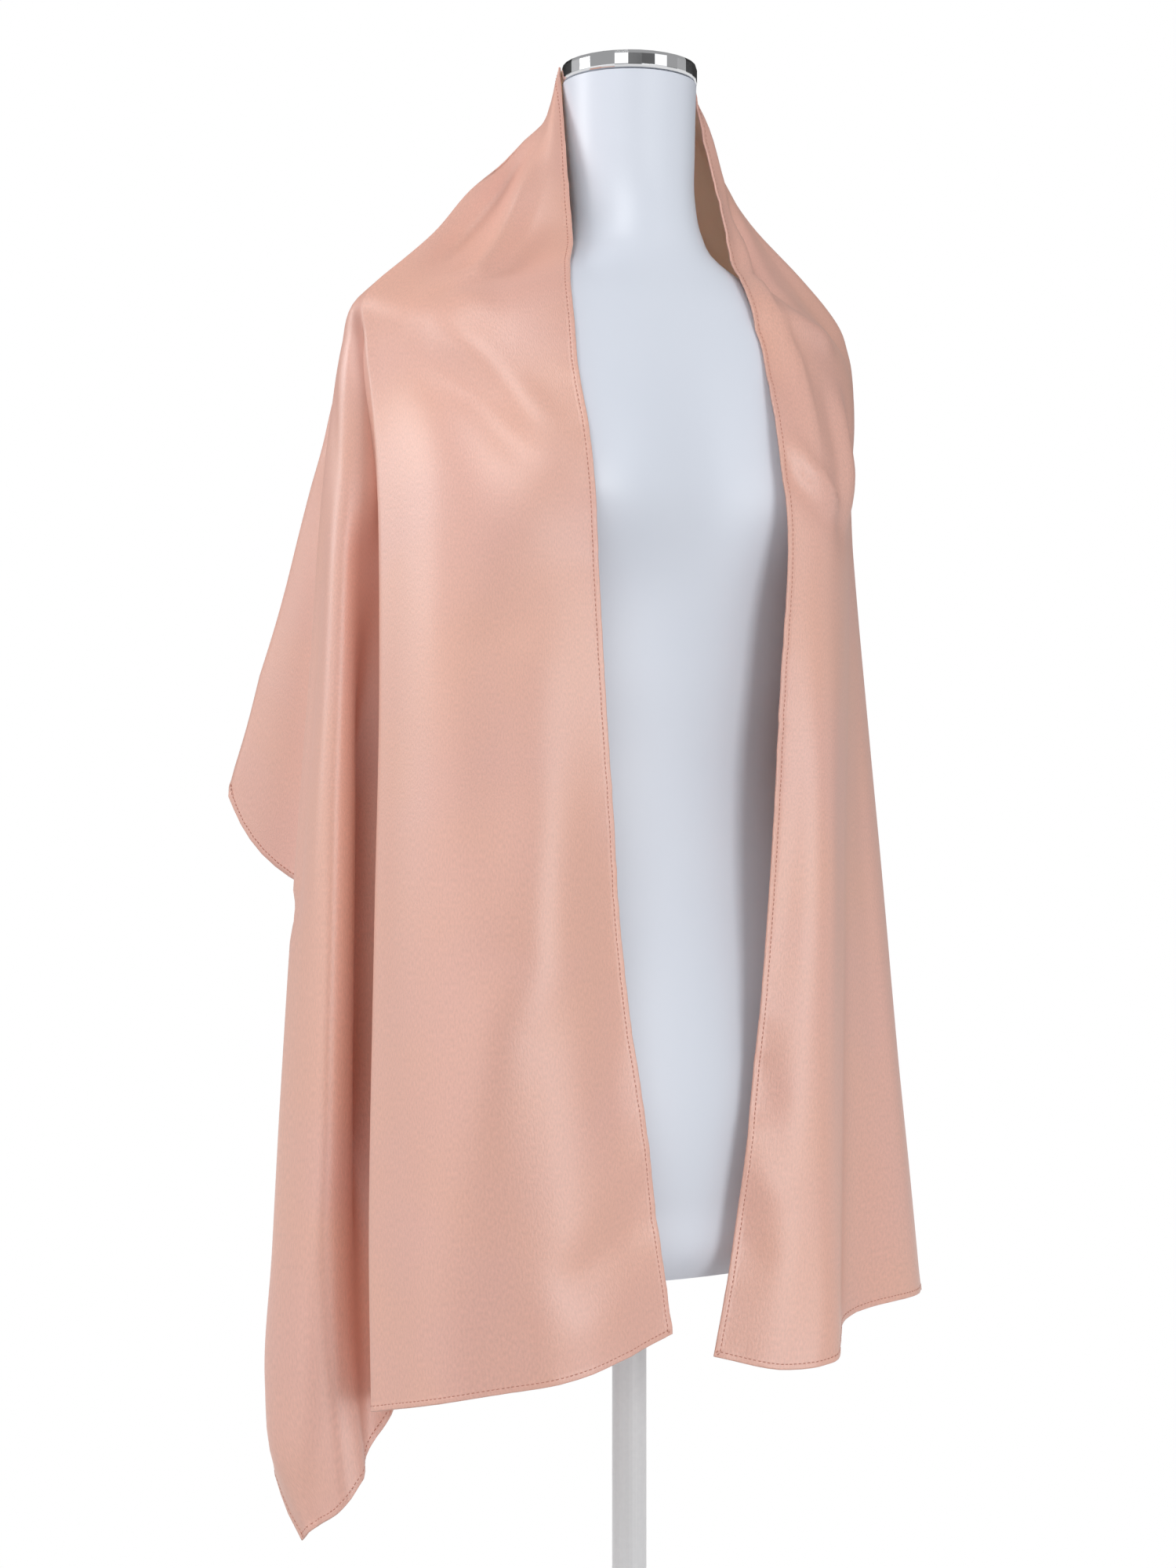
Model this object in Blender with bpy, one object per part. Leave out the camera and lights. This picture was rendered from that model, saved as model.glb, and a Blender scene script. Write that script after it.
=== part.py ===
"""Satin evening stole worn open over a limbless dress form on a pole stand.

Metres, +Z up. The form faces -Y, so its right shoulder is at -X. The origin is the
centre of the base plate's underside. The tables below give sizes in millimetres.
"""
import math

import bmesh
import bpy
from mathutils import Vector

for old in list(bpy.data.objects):
    bpy.data.objects.remove(old, do_unlink=True)

MM = 0.001

# Driving sizes, mm
CLOTH_WALL = 1.2            # satin with its drape, as a solid wall
SEAM_GAP = 0.4              # between two stretches of the cloth
FIT_GAP = 0.3               # between hard parts that touch
FOLD_RADIUS = 5.0           # roundness of a crisp fold
FORM_BOTTOM = 618.0
FORM_TOP = 1467.0
CAP_RADIUS = 49.3
CAP_TOP = 1481.0            # the edge of its slightly domed top
CLOTH_NECK_RADIUS = 50.7    # where the upper edge lies round the cap
CLOTH_TOP = 1480.0
CLOTH_DROP_END = 1400.0     # below this a line's top drop is worked off
CLOTH_REST_GAP = 2.0        # cloth's middle to the form, round the neck
CLOTH_BODY_GAP = 6.0        # and over the shoulders and body
CLOTH_CLEAR_TOP = 1450.0    # above this the cloth stands off the neck by its own radius
CLOTH_CLEAR_EASE = 130.0    # height over which the gap grows
LEVEL_SECTIONS_END = 1167.0 # below this height the sections lean towards each hem
TAIL_SHARED_END = 885.0     # where the back hem meets the tails' outer edges
BASE_RADIUS = 160.0
BASE_HEIGHT = 9.0
BASE_EDGE = 5.0             # width and depth of the base's rounded edge
POLE_RADIUS = 12.5
SOCKET_RADIUS = 30.0
SOCKET_HEIGHT = 26.0
SOCKET_FLANGE = 6.0
SOCKET_WALL = 6.0           # of its lower collar, round the pole
SMALL_BEVEL = 1.5

# Level sections of the cloth, mm above the floor, closest together at the shoulders
LEVELS = (1480, 1460, 1438, 1414, 1390, 1366, 1342, 1322, 1307, 1294, 1278, 1256,
          1228, 1198, LEVEL_SECTIONS_END, 1120, 1065, 1000, 935, TAIL_SHARED_END)
TAIL_ROWS = 7               # rows of each tail below the back hem

# The form's rings: height, half width, half depth, centre forward of the axis, squareness
FORM_RINGS = (
    (1467, 48.7, 48.7, 0.0, 2.0),
    (1420, 47.6, 47.6, 0.0, 2.0),
    (1380, 47.2, 47.8, -1.0, 2.0),
    (1356, 51.0, 51.0, -3.0, 2.0),
    (1341, 61.0, 53.0, -4.0, 2.0),
    (1329, 82.0, 56.0, -6.0, 2.0),
    (1317, 112.0, 60.0, -8.0, 2.05),
    (1303, 144.0, 66.0, -9.0, 2.1),
    (1287, 163.0, 71.0, -9.0, 2.15),
    (1265, 172.0, 78.0, -8.0, 2.2),
    (1230, 175.0, 86.0, -6.0, 2.2),
    (1180, 167.0, 93.0, -3.0, 2.2),
    (1120, 155.0, 93.0, -2.0, 2.2),
    (1040, 137.0, 87.0, -2.0, 2.15),
    (960, 126.0, 81.0, -2.0, 2.1),
    (930, 127.0, 81.5, -3.0, 2.1),
    (880, 136.0, 87.0, -4.0, 2.1),
    (800, 155.0, 100.0, -6.0, 2.1),
    (730, 165.0, 108.0, -6.0, 2.1),
    (670, 162.0, 106.0, -5.0, 2.1),
    (622, 155.0, 100.0, -3.0, 2.1),
    (618, 151.0, 96.0, -3.0, 2.1),
)
BUST_X = 80.0
BUST_HEIGHT = 1165.0
BUST_RISE = 33.0
BUST_SPREAD_X = 40.0
BUST_SPREAD_UP = 62.0
BUST_SPREAD_DOWN = 36.0
FORM_SEGMENTS = 32
FORM_EXTRA_LEVELS = (1445, 1400, 1205, 1165, 1150, 1135, 1080, 1000, 840, 765)

# Lines of the cloth, from the neck to the hem. Each has its angle round the neck in
# degrees from +X, how far its top lies below CLOTH_TOP, and rows of (height, x, y).
RIGHT_LINES = {
    "front_edge": (151.0, 0.0, (
        (1450, -50, 12), (1396, -56, -5), (1335, -69, -34), (1313, -82, -57),
        (1283, -90, -74), (1237, -93, -88), (1201, -97, -103), (1166, -102, -115),
        (1099, -103, -122), (892, -89, -125), (669, -66, -136), (592, -57, -141))),
    "near_panel": (147.5, 0.0, (
        (1450, -56, 11), (1394, -71, -4), (1336, -93, -21), (1310, -112, -42),
        (1281, -128, -62), (1237, -135, -76), (1200, -142, -90), (1165, -147, -99),
        (1098, -150, -106), (893, -151, -121), (676, -141, -136), (571, -132, -143))),
    "far_panel": (144.0, 0.0, (
        (1437, -59, 21), (1395, -86, 11), (1336, -129, 3), (1285, -166, -21),
        (1238, -176, -36), (1167, -186, -58), (1099, -190, -68), (893, -199, -83),
        (675, -202, -95), (557, -197, -102))),
    "crisp_fold": (139.0, 0.0, (
        (1460, -45, 32), (1439, -54, 30), (1425, -72, 27), (1404, -94, 25), (1383, -118, 24),
        (1346, -151, 23), (1322, -179, 22), (1309, -195, 21), (1297, -206, 18),
        (1268, -207, 14), (1191, -206, 2), (1040, -208, -8), (870, -215, -14),
        (634, -229, -32), (541, -231, -39))),
    "valley": (134.0, 0.0, (
        (1460, -41, 35), (1439, -50, 34), (1404, -90, 31), (1346, -148, 30), (1309, -191, 28),
        (1297, -201, 27), (1268, -200, 28), (1238, -197, 28), (1195, -191, 30),
        (1134, -185, 33), (972, -177, 38), (767, -178, 35), (631, -180, 29),
        (527, -185, 16))),
    "side_fold": (130.0, 0.0, (
        (1460, -38, 38), (1439, -46, 38), (1404, -86, 36), (1346, -146, 36), (1309, -191, 35),
        (1297, -204, 33), (1268, -208, 33), (1176, -214, 33), (1041, -220, 31),
        (852, -229, 27), (717, -234, 26), (584, -240, 23), (461, -229, 13))),
    "side_turn": (125.0, 0.0, (
        (1460, -34, 41), (1439, -42, 43), (1404, -82, 42), (1346, -142, 43), (1309, -188, 42),
        (1297, -202, 40), (1267, -208, 48), (1217, -213, 56), (1135, -217, 67),
        (1071, -219, 72), (972, -225, 76), (767, -238, 80), (635, -246, 81),
        (539, -254, 76), (490, -255, 60), (447, -241, 30))),
    "outer_edge": (118.0, 0.0, (
        (1460, -28, 45), (1439, -36, 49), (1404, -75, 50), (1346, -134, 52), (1309, -180, 50),
        (1297, -193, 49), (1270, -196, 58), (1238, -197, 67), (1189, -196, 81),
        (1129, -195, 95), (1045, -193, 110), (960, -193, 122), (870, -196, 130),
        (761, -208, 124), (627, -222, 115), (541, -235, 100), (490, -244, 84),
        (460, -247, 62), (438, -243, 40))),
}
RIGHT_COLUMNS = (5, 5, 5, 4, 4, 3, 3)

LEFT_LINES = {
    "front_edge": (-14.0, 11.0, (
        (1450, 51, -17), (1403, 53, -30), (1365, 55, -42), (1335, 53, -54),
        (1313, 49, -71), (1268, 50, -89), (1227, 48, -110), (1192, 46, -122),
        (1157, 48, -127), (1027, 44, -126), (927, 38, -126), (771, 21, -128),
        (627, -4, -132), (571, -18, -134))),
    "collar_crease": (-2.0, 8.0, (
        (1450, 62, -10), (1419, 71, -11), (1400, 75, -13), (1382, 78, -16),
        (1350, 80, -31), (1309, 73, -60),
        (1274, 73, -81), (1229, 75, -107), (1190, 73, -122), (1156, 75, -128),
        (1071, 75, -129), (960, 72, -132), (769, 55, -142), (561, 27, -157))),
    "bust_fold": (9.0, 6.0, (
        (1450, 60, 0), (1420, 73, -4), (1380, 93, -9), (1340, 116, -15),
        (1300, 128, -47), (1250, 130, -70), (1200, 126, -88), (1160, 124, -95),
        (1073, 127, -93), (938, 112, -108), (767, 92, -130), (563, 62, -159))),
    "front_valley": (19.0, 4.0, (
        (1450, 60, 9), (1420, 80, 6), (1380, 108, 4), (1340, 142, 1),
        (1310, 160, -12), (1280, 161, -33), (1250, 158, -48), (1200, 152, -58),
        (1160, 148, -66), (1075, 142, -75), (937, 134, -85), (763, 120, -101),
        (581, 102, -123))),
    "front_corner": (29.0, 2.0, (
        (1452, 62, 19), (1419, 84, 17), (1380, 122, 18), (1345, 167, 17),
        (1327, 186, 16), (1308, 199, 12), (1290, 201, 6), (1243, 196, -5),
        (1185, 187, -18), (1116, 176, -38), (1018, 172, -54), (937, 171, -65),
        (758, 177, -84), (668, 181, -95), (588, 184, -104))),
    "side_face": (37.0, 0.0, (
        (1452, 56, 27), (1404, 96, 26), (1346, 156, 26), (1309, 195, 24),
        (1290, 200, 20), (1243, 201, 13), (1185, 199, 4), (1116, 197, -6),
        (1018, 200, -16), (844, 209, -26), (668, 215, -36), (583, 218, -42))),
    "side_hollow": (44.0, 0.0, (
        (1455, 50, 33), (1404, 92, 33), (1346, 150, 33), (1309, 190, 32),
        (1290, 200, 29), (1243, 195, 30), (1116, 187, 33), (937, 184, 36),
        (758, 188, 34), (575, 194, 22))),
    "side_fold": (52.0, 0.0, (
        (1455, 44, 39), (1404, 85, 41), (1346, 144, 42), (1309, 185, 41),
        (1290, 200, 39), (1243, 210, 46), (1116, 218, 57), (937, 225, 66),
        (758, 233, 68), (640, 236, 62), (572, 234, 52))),
    "outer_edge": (62.0, 0.0, (
        (1455, 33, 46), (1404, 75, 50), (1346, 134, 52), (1309, 178, 51),
        (1290, 191, 50), (1243, 195, 66), (1185, 195, 82), (1045, 192, 108),
        (960, 193, 120), (870, 196, 127), (761, 206, 121), (627, 219, 108),
        (560, 226, 94), (520, 226, 80))),
}
LEFT_COLUMNS = (3, 4, 4, 4, 3, 4, 4, 3)

BACK_LINES = {
    "right_flare": (111.0, 0.0, (
        (1450, -31, 51), (1404, -66, 63), (1346, -120, 73), (1297, -168, 79),
        (1250, -192, 83), (1199, -199, 99), (1154, -201, 124), (1106, -205, 146),
        (1047, -213, 169), (1001, -219, 184), (958, -226, 200))),
    "right_hollow": (103.0, 0.0, (
        (1450, -19, 57), (1404, -43, 69), (1346, -88, 85), (1297, -130, 96),
        (1240, -154, 104), (1167, -162, 116), (1100, -161, 128), (1000, -158, 142),
        (885, -155, 152))),
    "right_blade": (96.5, 0.0, (
        (1450, -9, 59), (1404, -18, 71), (1346, -42, 91), (1297, -66, 106),
        (1240, -83, 117), (1167, -92, 127), (1000, -98, 148), (822, -104, 166))),
    "centre_back": (90.0, 0.0, (
        (1450, 0, 59), (1404, 0, 69), (1346, 0, 86), (1297, -1, 99),
        (1240, -3, 109), (1167, -5, 114), (1000, -8, 118), (792, -10, 122))),
    "left_blade": (83.5, 0.0, (
        (1450, 9, 59), (1404, 18, 71), (1346, 40, 90), (1297, 63, 105),
        (1240, 78, 117), (1167, 86, 126), (1000, 90, 144), (815, 92, 160))),
    "left_hollow": (77.0, 0.0, (
        (1450, 19, 57), (1404, 42, 69), (1346, 84, 85), (1297, 126, 95),
        (1240, 148, 102), (1167, 156, 113), (1100, 155, 122), (1000, 152, 133),
        (875, 148, 140))),
    "left_flare": (69.0, 0.0, (
        (1450, 31, 51), (1404, 66, 63), (1346, 119, 73), (1297, 164, 78),
        (1250, 187, 84), (1199, 194, 99), (1154, 197, 120), (1106, 201, 140),
        (1047, 208, 160), (1001, 213, 174), (948, 219, 188))),
}
BACK_COLUMNS = (4, 4, 4, 4, 4, 4, 4, 4)

# Colour, roughness and metallic value of each material
SATIN = ((0.76, 0.47, 0.38, 1.0), 0.38, 0.0)
WHITE_SHELL = ((0.80, 0.82, 0.87, 1.0), 0.28, 0.0)
CHROME = ((0.78, 0.79, 0.80, 1.0), 0.08, 1.0)
WHITE_ENAMEL = ((0.84, 0.84, 0.85, 1.0), 0.35, 0.0)


def material(name, finish):
    colour, roughness, metallic = finish
    made = bpy.data.materials.new(name)
    made.use_nodes = True
    shader = made.node_tree.nodes["Principled BSDF"]
    shader.inputs["Base Color"].default_value = colour
    shader.inputs["Roughness"].default_value = roughness
    shader.inputs["Metallic"].default_value = metallic
    return made


def smooth_rows(rows, height):
    """Value columns of a table at a height, on one smooth curve through its rows."""
    rows = sorted(rows, reverse=True)
    if height >= rows[0][0]:
        return rows[0][1:]
    if height <= rows[-1][0]:
        return rows[-1][1:]
    last = len(rows) - 1
    place = next(i for i in range(last) if rows[i + 1][0] <= height)
    above, below = rows[place], rows[place + 1]
    span = below[0] - above[0]
    share = (height - above[0]) / span
    values = []
    for column in range(1, len(above)):
        step = (below[column] - above[column]) / span
        slopes = []
        for end in (place, place + 1):
            if end in (0, last):
                slopes.append(step)
                continue
            before = rows[end][0] - rows[end - 1][0]
            after = rows[end + 1][0] - rows[end][0]
            rise_in = (rows[end][column] - rows[end - 1][column]) / before
            rise_out = (rows[end + 1][column] - rows[end][column]) / after
            slopes.append((rise_in * after + rise_out * before) / (before + after))
        values.append(hermite(above[column], below[column],
                              slopes[0] * span, slopes[1] * span, share))
    return tuple(values)


def hermite(start, end, slope_in, slope_out, share):
    square = share * share
    cube = square * share
    return (start * (2 * cube - 3 * square + 1) + slope_in * (cube - 2 * square + share)
            + end * (3 * square - 2 * cube) + slope_out * (cube - square))


def form_radius(angle, height):
    """Radius of the form from its ring's centre, with the bust raised at the front."""
    half_width, half_depth, _, squareness = smooth_rows(FORM_RINGS, height)
    across, deep = abs(math.cos(angle)), abs(math.sin(angle))
    radius = ((across / half_width) ** squareness
              + (deep / half_depth) ** squareness) ** (-1 / squareness)
    forward = max(0.0, -math.sin(angle))
    sides = [(radius * math.cos(angle) - x) / BUST_SPREAD_X for x in (-BUST_X, BUST_X)]
    spread = BUST_SPREAD_UP if height > BUST_HEIGHT else BUST_SPREAD_DOWN
    rise = (height - BUST_HEIGHT) / spread
    mounds = sum(math.exp(-(side ** 2 + rise ** 2) / 2) for side in sides)
    return radius + BUST_RISE * forward * (2 - forward) * mounds


def clear_of_form(point):
    """The point moved outwards where it would lie on or in the form."""
    x, y, height = point
    centre = smooth_rows(FORM_RINGS, height)[2]
    grown = min(1.0, max(0.0, (CLOTH_CLEAR_TOP - height) / CLOTH_CLEAR_EASE))
    clearance = CLOTH_REST_GAP + (CLOTH_BODY_GAP - CLOTH_REST_GAP) * grown
    distance = math.hypot(x, y - centre)
    least = form_radius(math.atan2(y - centre, x), height) + clearance
    if height > CLOTH_CLEAR_TOP or distance >= least + clearance:
        return Vector(point)
    # a soft maximum, so that the cloth leaves the form without a crease
    over = (distance - least) / clearance
    eased = least if over <= -1 else least + clearance * (over + 1) ** 2 / 4
    scale = max(distance, eased) / distance
    return Vector((x * scale, centre + (y - centre) * scale, height))


def line_point(line, height):
    angle, drop, rows = line
    neck = (CLOTH_TOP, CLOTH_NECK_RADIUS * math.cos(math.radians(angle)),
            CLOTH_NECK_RADIUS * math.sin(math.radians(angle)))
    x, y = smooth_rows((neck,) + rows, height)
    lowered = drop * max(0.0, (height - CLOTH_DROP_END) / (CLOTH_TOP - CLOTH_DROP_END))
    return Vector((x, y, height - lowered))


def line_heights(line, extra_rows):
    """Heights of a line's points: level at first, then leaning towards its hem."""
    hem = line[2][-1][0]
    end = TAIL_SHARED_END if extra_rows else hem
    heights = []
    for level in LEVELS:
        share = (LEVEL_SECTIONS_END - level) / (LEVEL_SECTIONS_END - TAIL_SHARED_END)
        leaning = LEVEL_SECTIONS_END - share * (LEVEL_SECTIONS_END - end)
        heights.append(level if share <= 0 else leaning)
    for row in range(1, extra_rows + 1):
        heights.append(end + (hem - end) * row / extra_rows)
    return heights


def span_curve(points, sharp, columns):
    """A smooth curve through a section's points, cornered at the sharp ones."""
    last = len(points) - 1
    curve = [points[0]]
    for place, count in enumerate(columns):
        start, end = points[place], points[place + 1]
        chord = end - start
        pulls = []
        for at in (place, place + 1):
            if at in (0, last) or at in sharp:
                pulls.append(chord)
                continue
            back = points[at] - points[at - 1]
            ahead = points[at + 1] - points[at]
            blend = (back / back.length * ahead.length + ahead / ahead.length * back.length)
            pulls.append(blend / (back.length + ahead.length) * chord.length)
        for step in range(1, count + 1):
            curve.append(Vector(hermite(start[axis], end[axis], pulls[0][axis],
                                        pulls[1][axis], step / count)
                                for axis in range(3)))
    return curve


def round_corner(curve, place):
    """Replaces one point of a curve with three on a small round bend."""
    corner = curve[place]
    before = curve[place - 1] - corner
    after = curve[place + 1] - corner
    reach = min(FOLD_RADIUS, before.length / 2, after.length / 2)
    first = corner + before.normalized() * reach
    third = corner + after.normalized() * reach
    second = (first + 2 * corner + third) / 4
    return curve[:place] + [first, second, third] + curve[place + 1:]


def sheet_rows(lines, columns, extra_rows, sharp_names=()):
    names = list(lines)
    sharp = {names.index(name) for name in sharp_names}
    heights = [line_heights(line, extra_rows) for line in lines.values()]
    rows = []
    for row in range(len(heights[0])):
        points = [line_point(line, heights[at][row]) for at, line in enumerate(lines.values())]
        points = [clear_of_form(point) for point in points]
        curve = span_curve(points, sharp, columns)
        for place in sorted(sharp, reverse=True):
            curve = round_corner(curve, sum(columns[:place]))
        rows.append([clear_of_form(point) for point in curve])
    return rows


def sheet_normals(rows):
    """Outward normals at each point, from its neighbours along and across the sheet."""
    normals = []
    for r, row in enumerate(rows):
        upper, lower = rows[max(r - 1, 0)], rows[min(r + 1, len(rows) - 1)]
        line = []
        for c in range(len(row)):
            along = row[min(c + 1, len(row) - 1)] - row[max(c - 1, 0)]
            down = lower[c] - upper[c]
            line.append(down.cross(along).normalized())
        normals.append(line)
    return normals


def share_seam(rows_a, normals_a, rows_b, normals_b, shared):
    """Parts two sheets at their common line: a's last column and b's first."""
    for r in range(shared):
        normal = (normals_a[r][-1] + normals_b[r][0]).normalized()
        normals_a[r][-1] = normal
        normals_b[r][0] = normal
        away = (rows_b[r][1] - rows_a[r][-2])
        away = (away - normal * away.dot(normal)).normalized() * SEAM_GAP / 2
        rows_a[r][-1] = rows_a[r][-1] - away
        rows_b[r][0] = rows_b[r][0] + away


def cloth_wall(name, rows, normals, finish):
    """A wall of even thickness whose two faces follow the sheet's points."""
    mesh = bmesh.new()
    half = CLOTH_WALL / 2
    faces = []
    for side in (half, -half):
        faces.append([[mesh.verts.new((point + normals[r][c] * side) * MM)
                       for c, point in enumerate(row)] for r, row in enumerate(rows)])
    outer, inner = faces
    last_row, last_column = len(rows) - 1, len(rows[0]) - 1
    for r in range(last_row):
        for c in range(last_column):
            mesh.faces.new((outer[r][c], outer[r + 1][c], outer[r + 1][c + 1], outer[r][c + 1]))
            mesh.faces.new((inner[r][c], inner[r][c + 1], inner[r + 1][c + 1], inner[r + 1][c]))
    for r in range(last_row):
        mesh.faces.new((outer[r][0], inner[r][0], inner[r + 1][0], outer[r + 1][0]))
        mesh.faces.new((outer[r][-1], outer[r + 1][-1], inner[r + 1][-1], inner[r][-1]))
    for c in range(last_column):
        mesh.faces.new((outer[0][c], outer[0][c + 1], inner[0][c + 1], inner[0][c]))
        mesh.faces.new((outer[-1][c], inner[-1][c], inner[-1][c + 1], outer[-1][c + 1]))
    return finished(name, mesh, finish)


def finished(name, mesh, finish, sharp_angle=40):
    bmesh.ops.recalc_face_normals(mesh, faces=mesh.faces)
    data = bpy.data.meshes.new(name)
    mesh.to_mesh(data)
    mesh.free()
    data.shade_smooth()
    data.set_sharp_from_angle(angle=math.radians(sharp_angle))
    data.materials.append(material(name, finish))
    made = bpy.data.objects.new(name, data)
    bpy.context.scene.collection.objects.link(made)
    return made


def form_body():
    """The moulded torso: closed rings from the neck down to the flat bottom."""
    heights = sorted({ring[0] for ring in FORM_RINGS} | set(FORM_EXTRA_LEVELS), reverse=True)
    mesh = bmesh.new()
    rings = []
    for height in heights:
        centre = smooth_rows(FORM_RINGS, height)[2]
        ring = []
        for segment in range(FORM_SEGMENTS):
            angle = 2 * math.pi * segment / FORM_SEGMENTS
            radius = form_radius(angle, height)
            ring.append(mesh.verts.new(Vector((radius * math.cos(angle),
                                               centre + radius * math.sin(angle),
                                               height)) * MM))
        rings.append(ring)
    for upper, lower in zip(rings, rings[1:]):
        for a in range(FORM_SEGMENTS):
            b = (a + 1) % FORM_SEGMENTS
            mesh.faces.new((upper[a], lower[a], lower[b], upper[b]))
    mesh.faces.new(rings[0])
    mesh.faces.new(list(reversed(rings[-1])))
    finished("form_body", mesh, WHITE_SHELL)


def turned(name, profile, finish, segments=32):
    """A round piece from a (radius, height) profile that starts and ends on its axis."""
    mesh = bmesh.new()
    turns = [2 * math.pi * segment / segments for segment in range(segments)]
    rings = []
    for radius, height in profile:
        if radius == 0:
            rings.append([mesh.verts.new(Vector((0, 0, height)) * MM)] * segments)
            continue
        rings.append([mesh.verts.new(Vector((radius * math.cos(turn), radius * math.sin(turn),
                                             height)) * MM) for turn in turns])
    for upper, lower in zip(rings, rings[1:]):
        for a in range(segments):
            b = (a + 1) % segments
            corners = []
            for corner in (upper[a], lower[a], lower[b], upper[b]):
                if corner not in corners:
                    corners.append(corner)
            mesh.faces.new(corners)
    return finished(name, mesh, finish, sharp_angle=30)


def neck_cap():
    """A low chrome cap with a slightly domed top and rounded edges."""
    bottom = FORM_TOP + FIT_GAP
    profile = (
        (0, CAP_TOP + SMALL_BEVEL),
        (CAP_RADIUS * 0.6, CAP_TOP + SMALL_BEVEL * 0.8),
        (CAP_RADIUS - 2 * SMALL_BEVEL, CAP_TOP),
        (CAP_RADIUS - SMALL_BEVEL / 2, CAP_TOP - SMALL_BEVEL / 2),
        (CAP_RADIUS, CAP_TOP - 2 * SMALL_BEVEL),
        (CAP_RADIUS, bottom + SMALL_BEVEL / 2),
        (CAP_RADIUS - SMALL_BEVEL / 2, bottom),
        (0, bottom),
    )
    turned("neck_cap", profile, CHROME)


def stand():
    """Socket under the form, pole and round base plate, each clear of the next."""
    socket_top = FORM_BOTTOM - FIT_GAP
    socket_bottom = socket_top - SOCKET_HEIGHT
    collar_radius = POLE_RADIUS + SOCKET_WALL
    socket = (
        (0, socket_top),
        (SOCKET_RADIUS, socket_top),
        (SOCKET_RADIUS, socket_top - SOCKET_FLANGE),
        (collar_radius, socket_top - SOCKET_FLANGE - 2 * SMALL_BEVEL),
        (collar_radius, socket_bottom + SMALL_BEVEL),
        (collar_radius - SMALL_BEVEL, socket_bottom),
        (0, socket_bottom),
    )
    turned("form_socket", socket, WHITE_ENAMEL)
    pole_top = socket_bottom - FIT_GAP
    pole_bottom = BASE_HEIGHT + FIT_GAP
    pole = ((0, pole_top), (POLE_RADIUS, pole_top), (POLE_RADIUS, pole_bottom), (0, pole_bottom))
    turned("stand_pole", pole, WHITE_ENAMEL)
    base = (
        (0, BASE_HEIGHT),
        (BASE_RADIUS - BASE_EDGE, BASE_HEIGHT),
        (BASE_RADIUS - SMALL_BEVEL, BASE_HEIGHT - SMALL_BEVEL),
        (BASE_RADIUS, BASE_HEIGHT - BASE_EDGE),
        (BASE_RADIUS, 0),
        (0, 0),
    )
    turned("stand_base", base, WHITE_ENAMEL, segments=48)


def stole():
    """Right tail, back and left tail, parted by narrow gaps behind the shoulders."""
    back_lines = {"right_seam": RIGHT_LINES["outer_edge"]}
    back_lines.update(BACK_LINES)
    back_lines["left_seam"] = LEFT_LINES["outer_edge"]
    back_lines = {name: cut_at(line, TAIL_SHARED_END) if name.endswith("seam") else line
                  for name, line in back_lines.items()}
    right = sheet_rows(RIGHT_LINES, RIGHT_COLUMNS, TAIL_ROWS, sharp_names=("crisp_fold",))
    back = sheet_rows(back_lines, BACK_COLUMNS, 0)
    left = [list(reversed(row)) for row in sheet_rows(LEFT_LINES, LEFT_COLUMNS, TAIL_ROWS)]
    normals = {key: sheet_normals(rows)
               for key, rows in (("right", right), ("back", back), ("left", left))}
    shared = len(LEVELS)
    share_seam(right, normals["right"], back, normals["back"], shared)
    share_seam(back, normals["back"], left, normals["left"], shared)
    cloth_wall("stole_right_front", right, normals["right"], SATIN)
    cloth_wall("stole_back", back, normals["back"], SATIN)
    cloth_wall("stole_left_front", left, normals["left"], SATIN)


def cut_at(line, height):
    """The part of a line above a height, ending exactly there."""
    angle, drop, rows = line
    end = line_point(line, height)
    kept = tuple(row for row in rows if row[0] > height)
    return angle, drop, kept + ((height, end.x, end.y),)


form_body()
neck_cap()
stand()
stole()
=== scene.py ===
"""Satin evening stole worn open over a limbless dress form on a pole stand.

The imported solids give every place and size; this script gives the looks. Metres, +Z up,
the form faces -Y. Tables of the cloth and the form are in millimetres.
"""
import math

import bpy
import numpy as np
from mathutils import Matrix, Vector
from mathutils.bvhtree import BVHTree
from mathutils.kdtree import KDTree


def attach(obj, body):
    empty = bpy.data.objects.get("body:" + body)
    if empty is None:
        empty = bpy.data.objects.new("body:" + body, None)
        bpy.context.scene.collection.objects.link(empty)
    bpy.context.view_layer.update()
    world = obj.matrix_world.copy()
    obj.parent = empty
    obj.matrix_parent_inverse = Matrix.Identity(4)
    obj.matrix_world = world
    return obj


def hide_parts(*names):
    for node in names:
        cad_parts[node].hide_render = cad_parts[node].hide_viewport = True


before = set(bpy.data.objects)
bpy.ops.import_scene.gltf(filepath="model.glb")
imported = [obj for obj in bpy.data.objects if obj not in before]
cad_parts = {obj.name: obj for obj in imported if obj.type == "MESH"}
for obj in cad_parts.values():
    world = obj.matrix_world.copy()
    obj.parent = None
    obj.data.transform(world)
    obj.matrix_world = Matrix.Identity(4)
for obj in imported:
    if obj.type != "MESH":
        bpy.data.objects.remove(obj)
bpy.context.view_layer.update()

# Camera: a 60 mm lens, level with the form's waist, about 32 degrees round to the
# form's right side. The object stands a little right of the middle of the picture.
bpy.ops.object.select_all(action="DESELECT")
bpy.ops.object.camera_add(location=(-1.032, -1.595, 0.96),
                          rotation=(math.pi / 2, 0, math.radians(-32)))
camera = bpy.context.object
camera.name = "camera"
camera.data.sensor_fit = "VERTICAL"
camera.data.sensor_height = 36
camera.data.lens = 60
bpy.context.scene.camera = camera
bpy.context.scene.view_settings.view_transform = "Standard"

# Studio: a pale paper floor that fades into a plain white surround. A softbox behind the
# form's right side, a high key beside the camera and a low one in front light the form,
# and the soft light of the room fills in all round.


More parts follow.
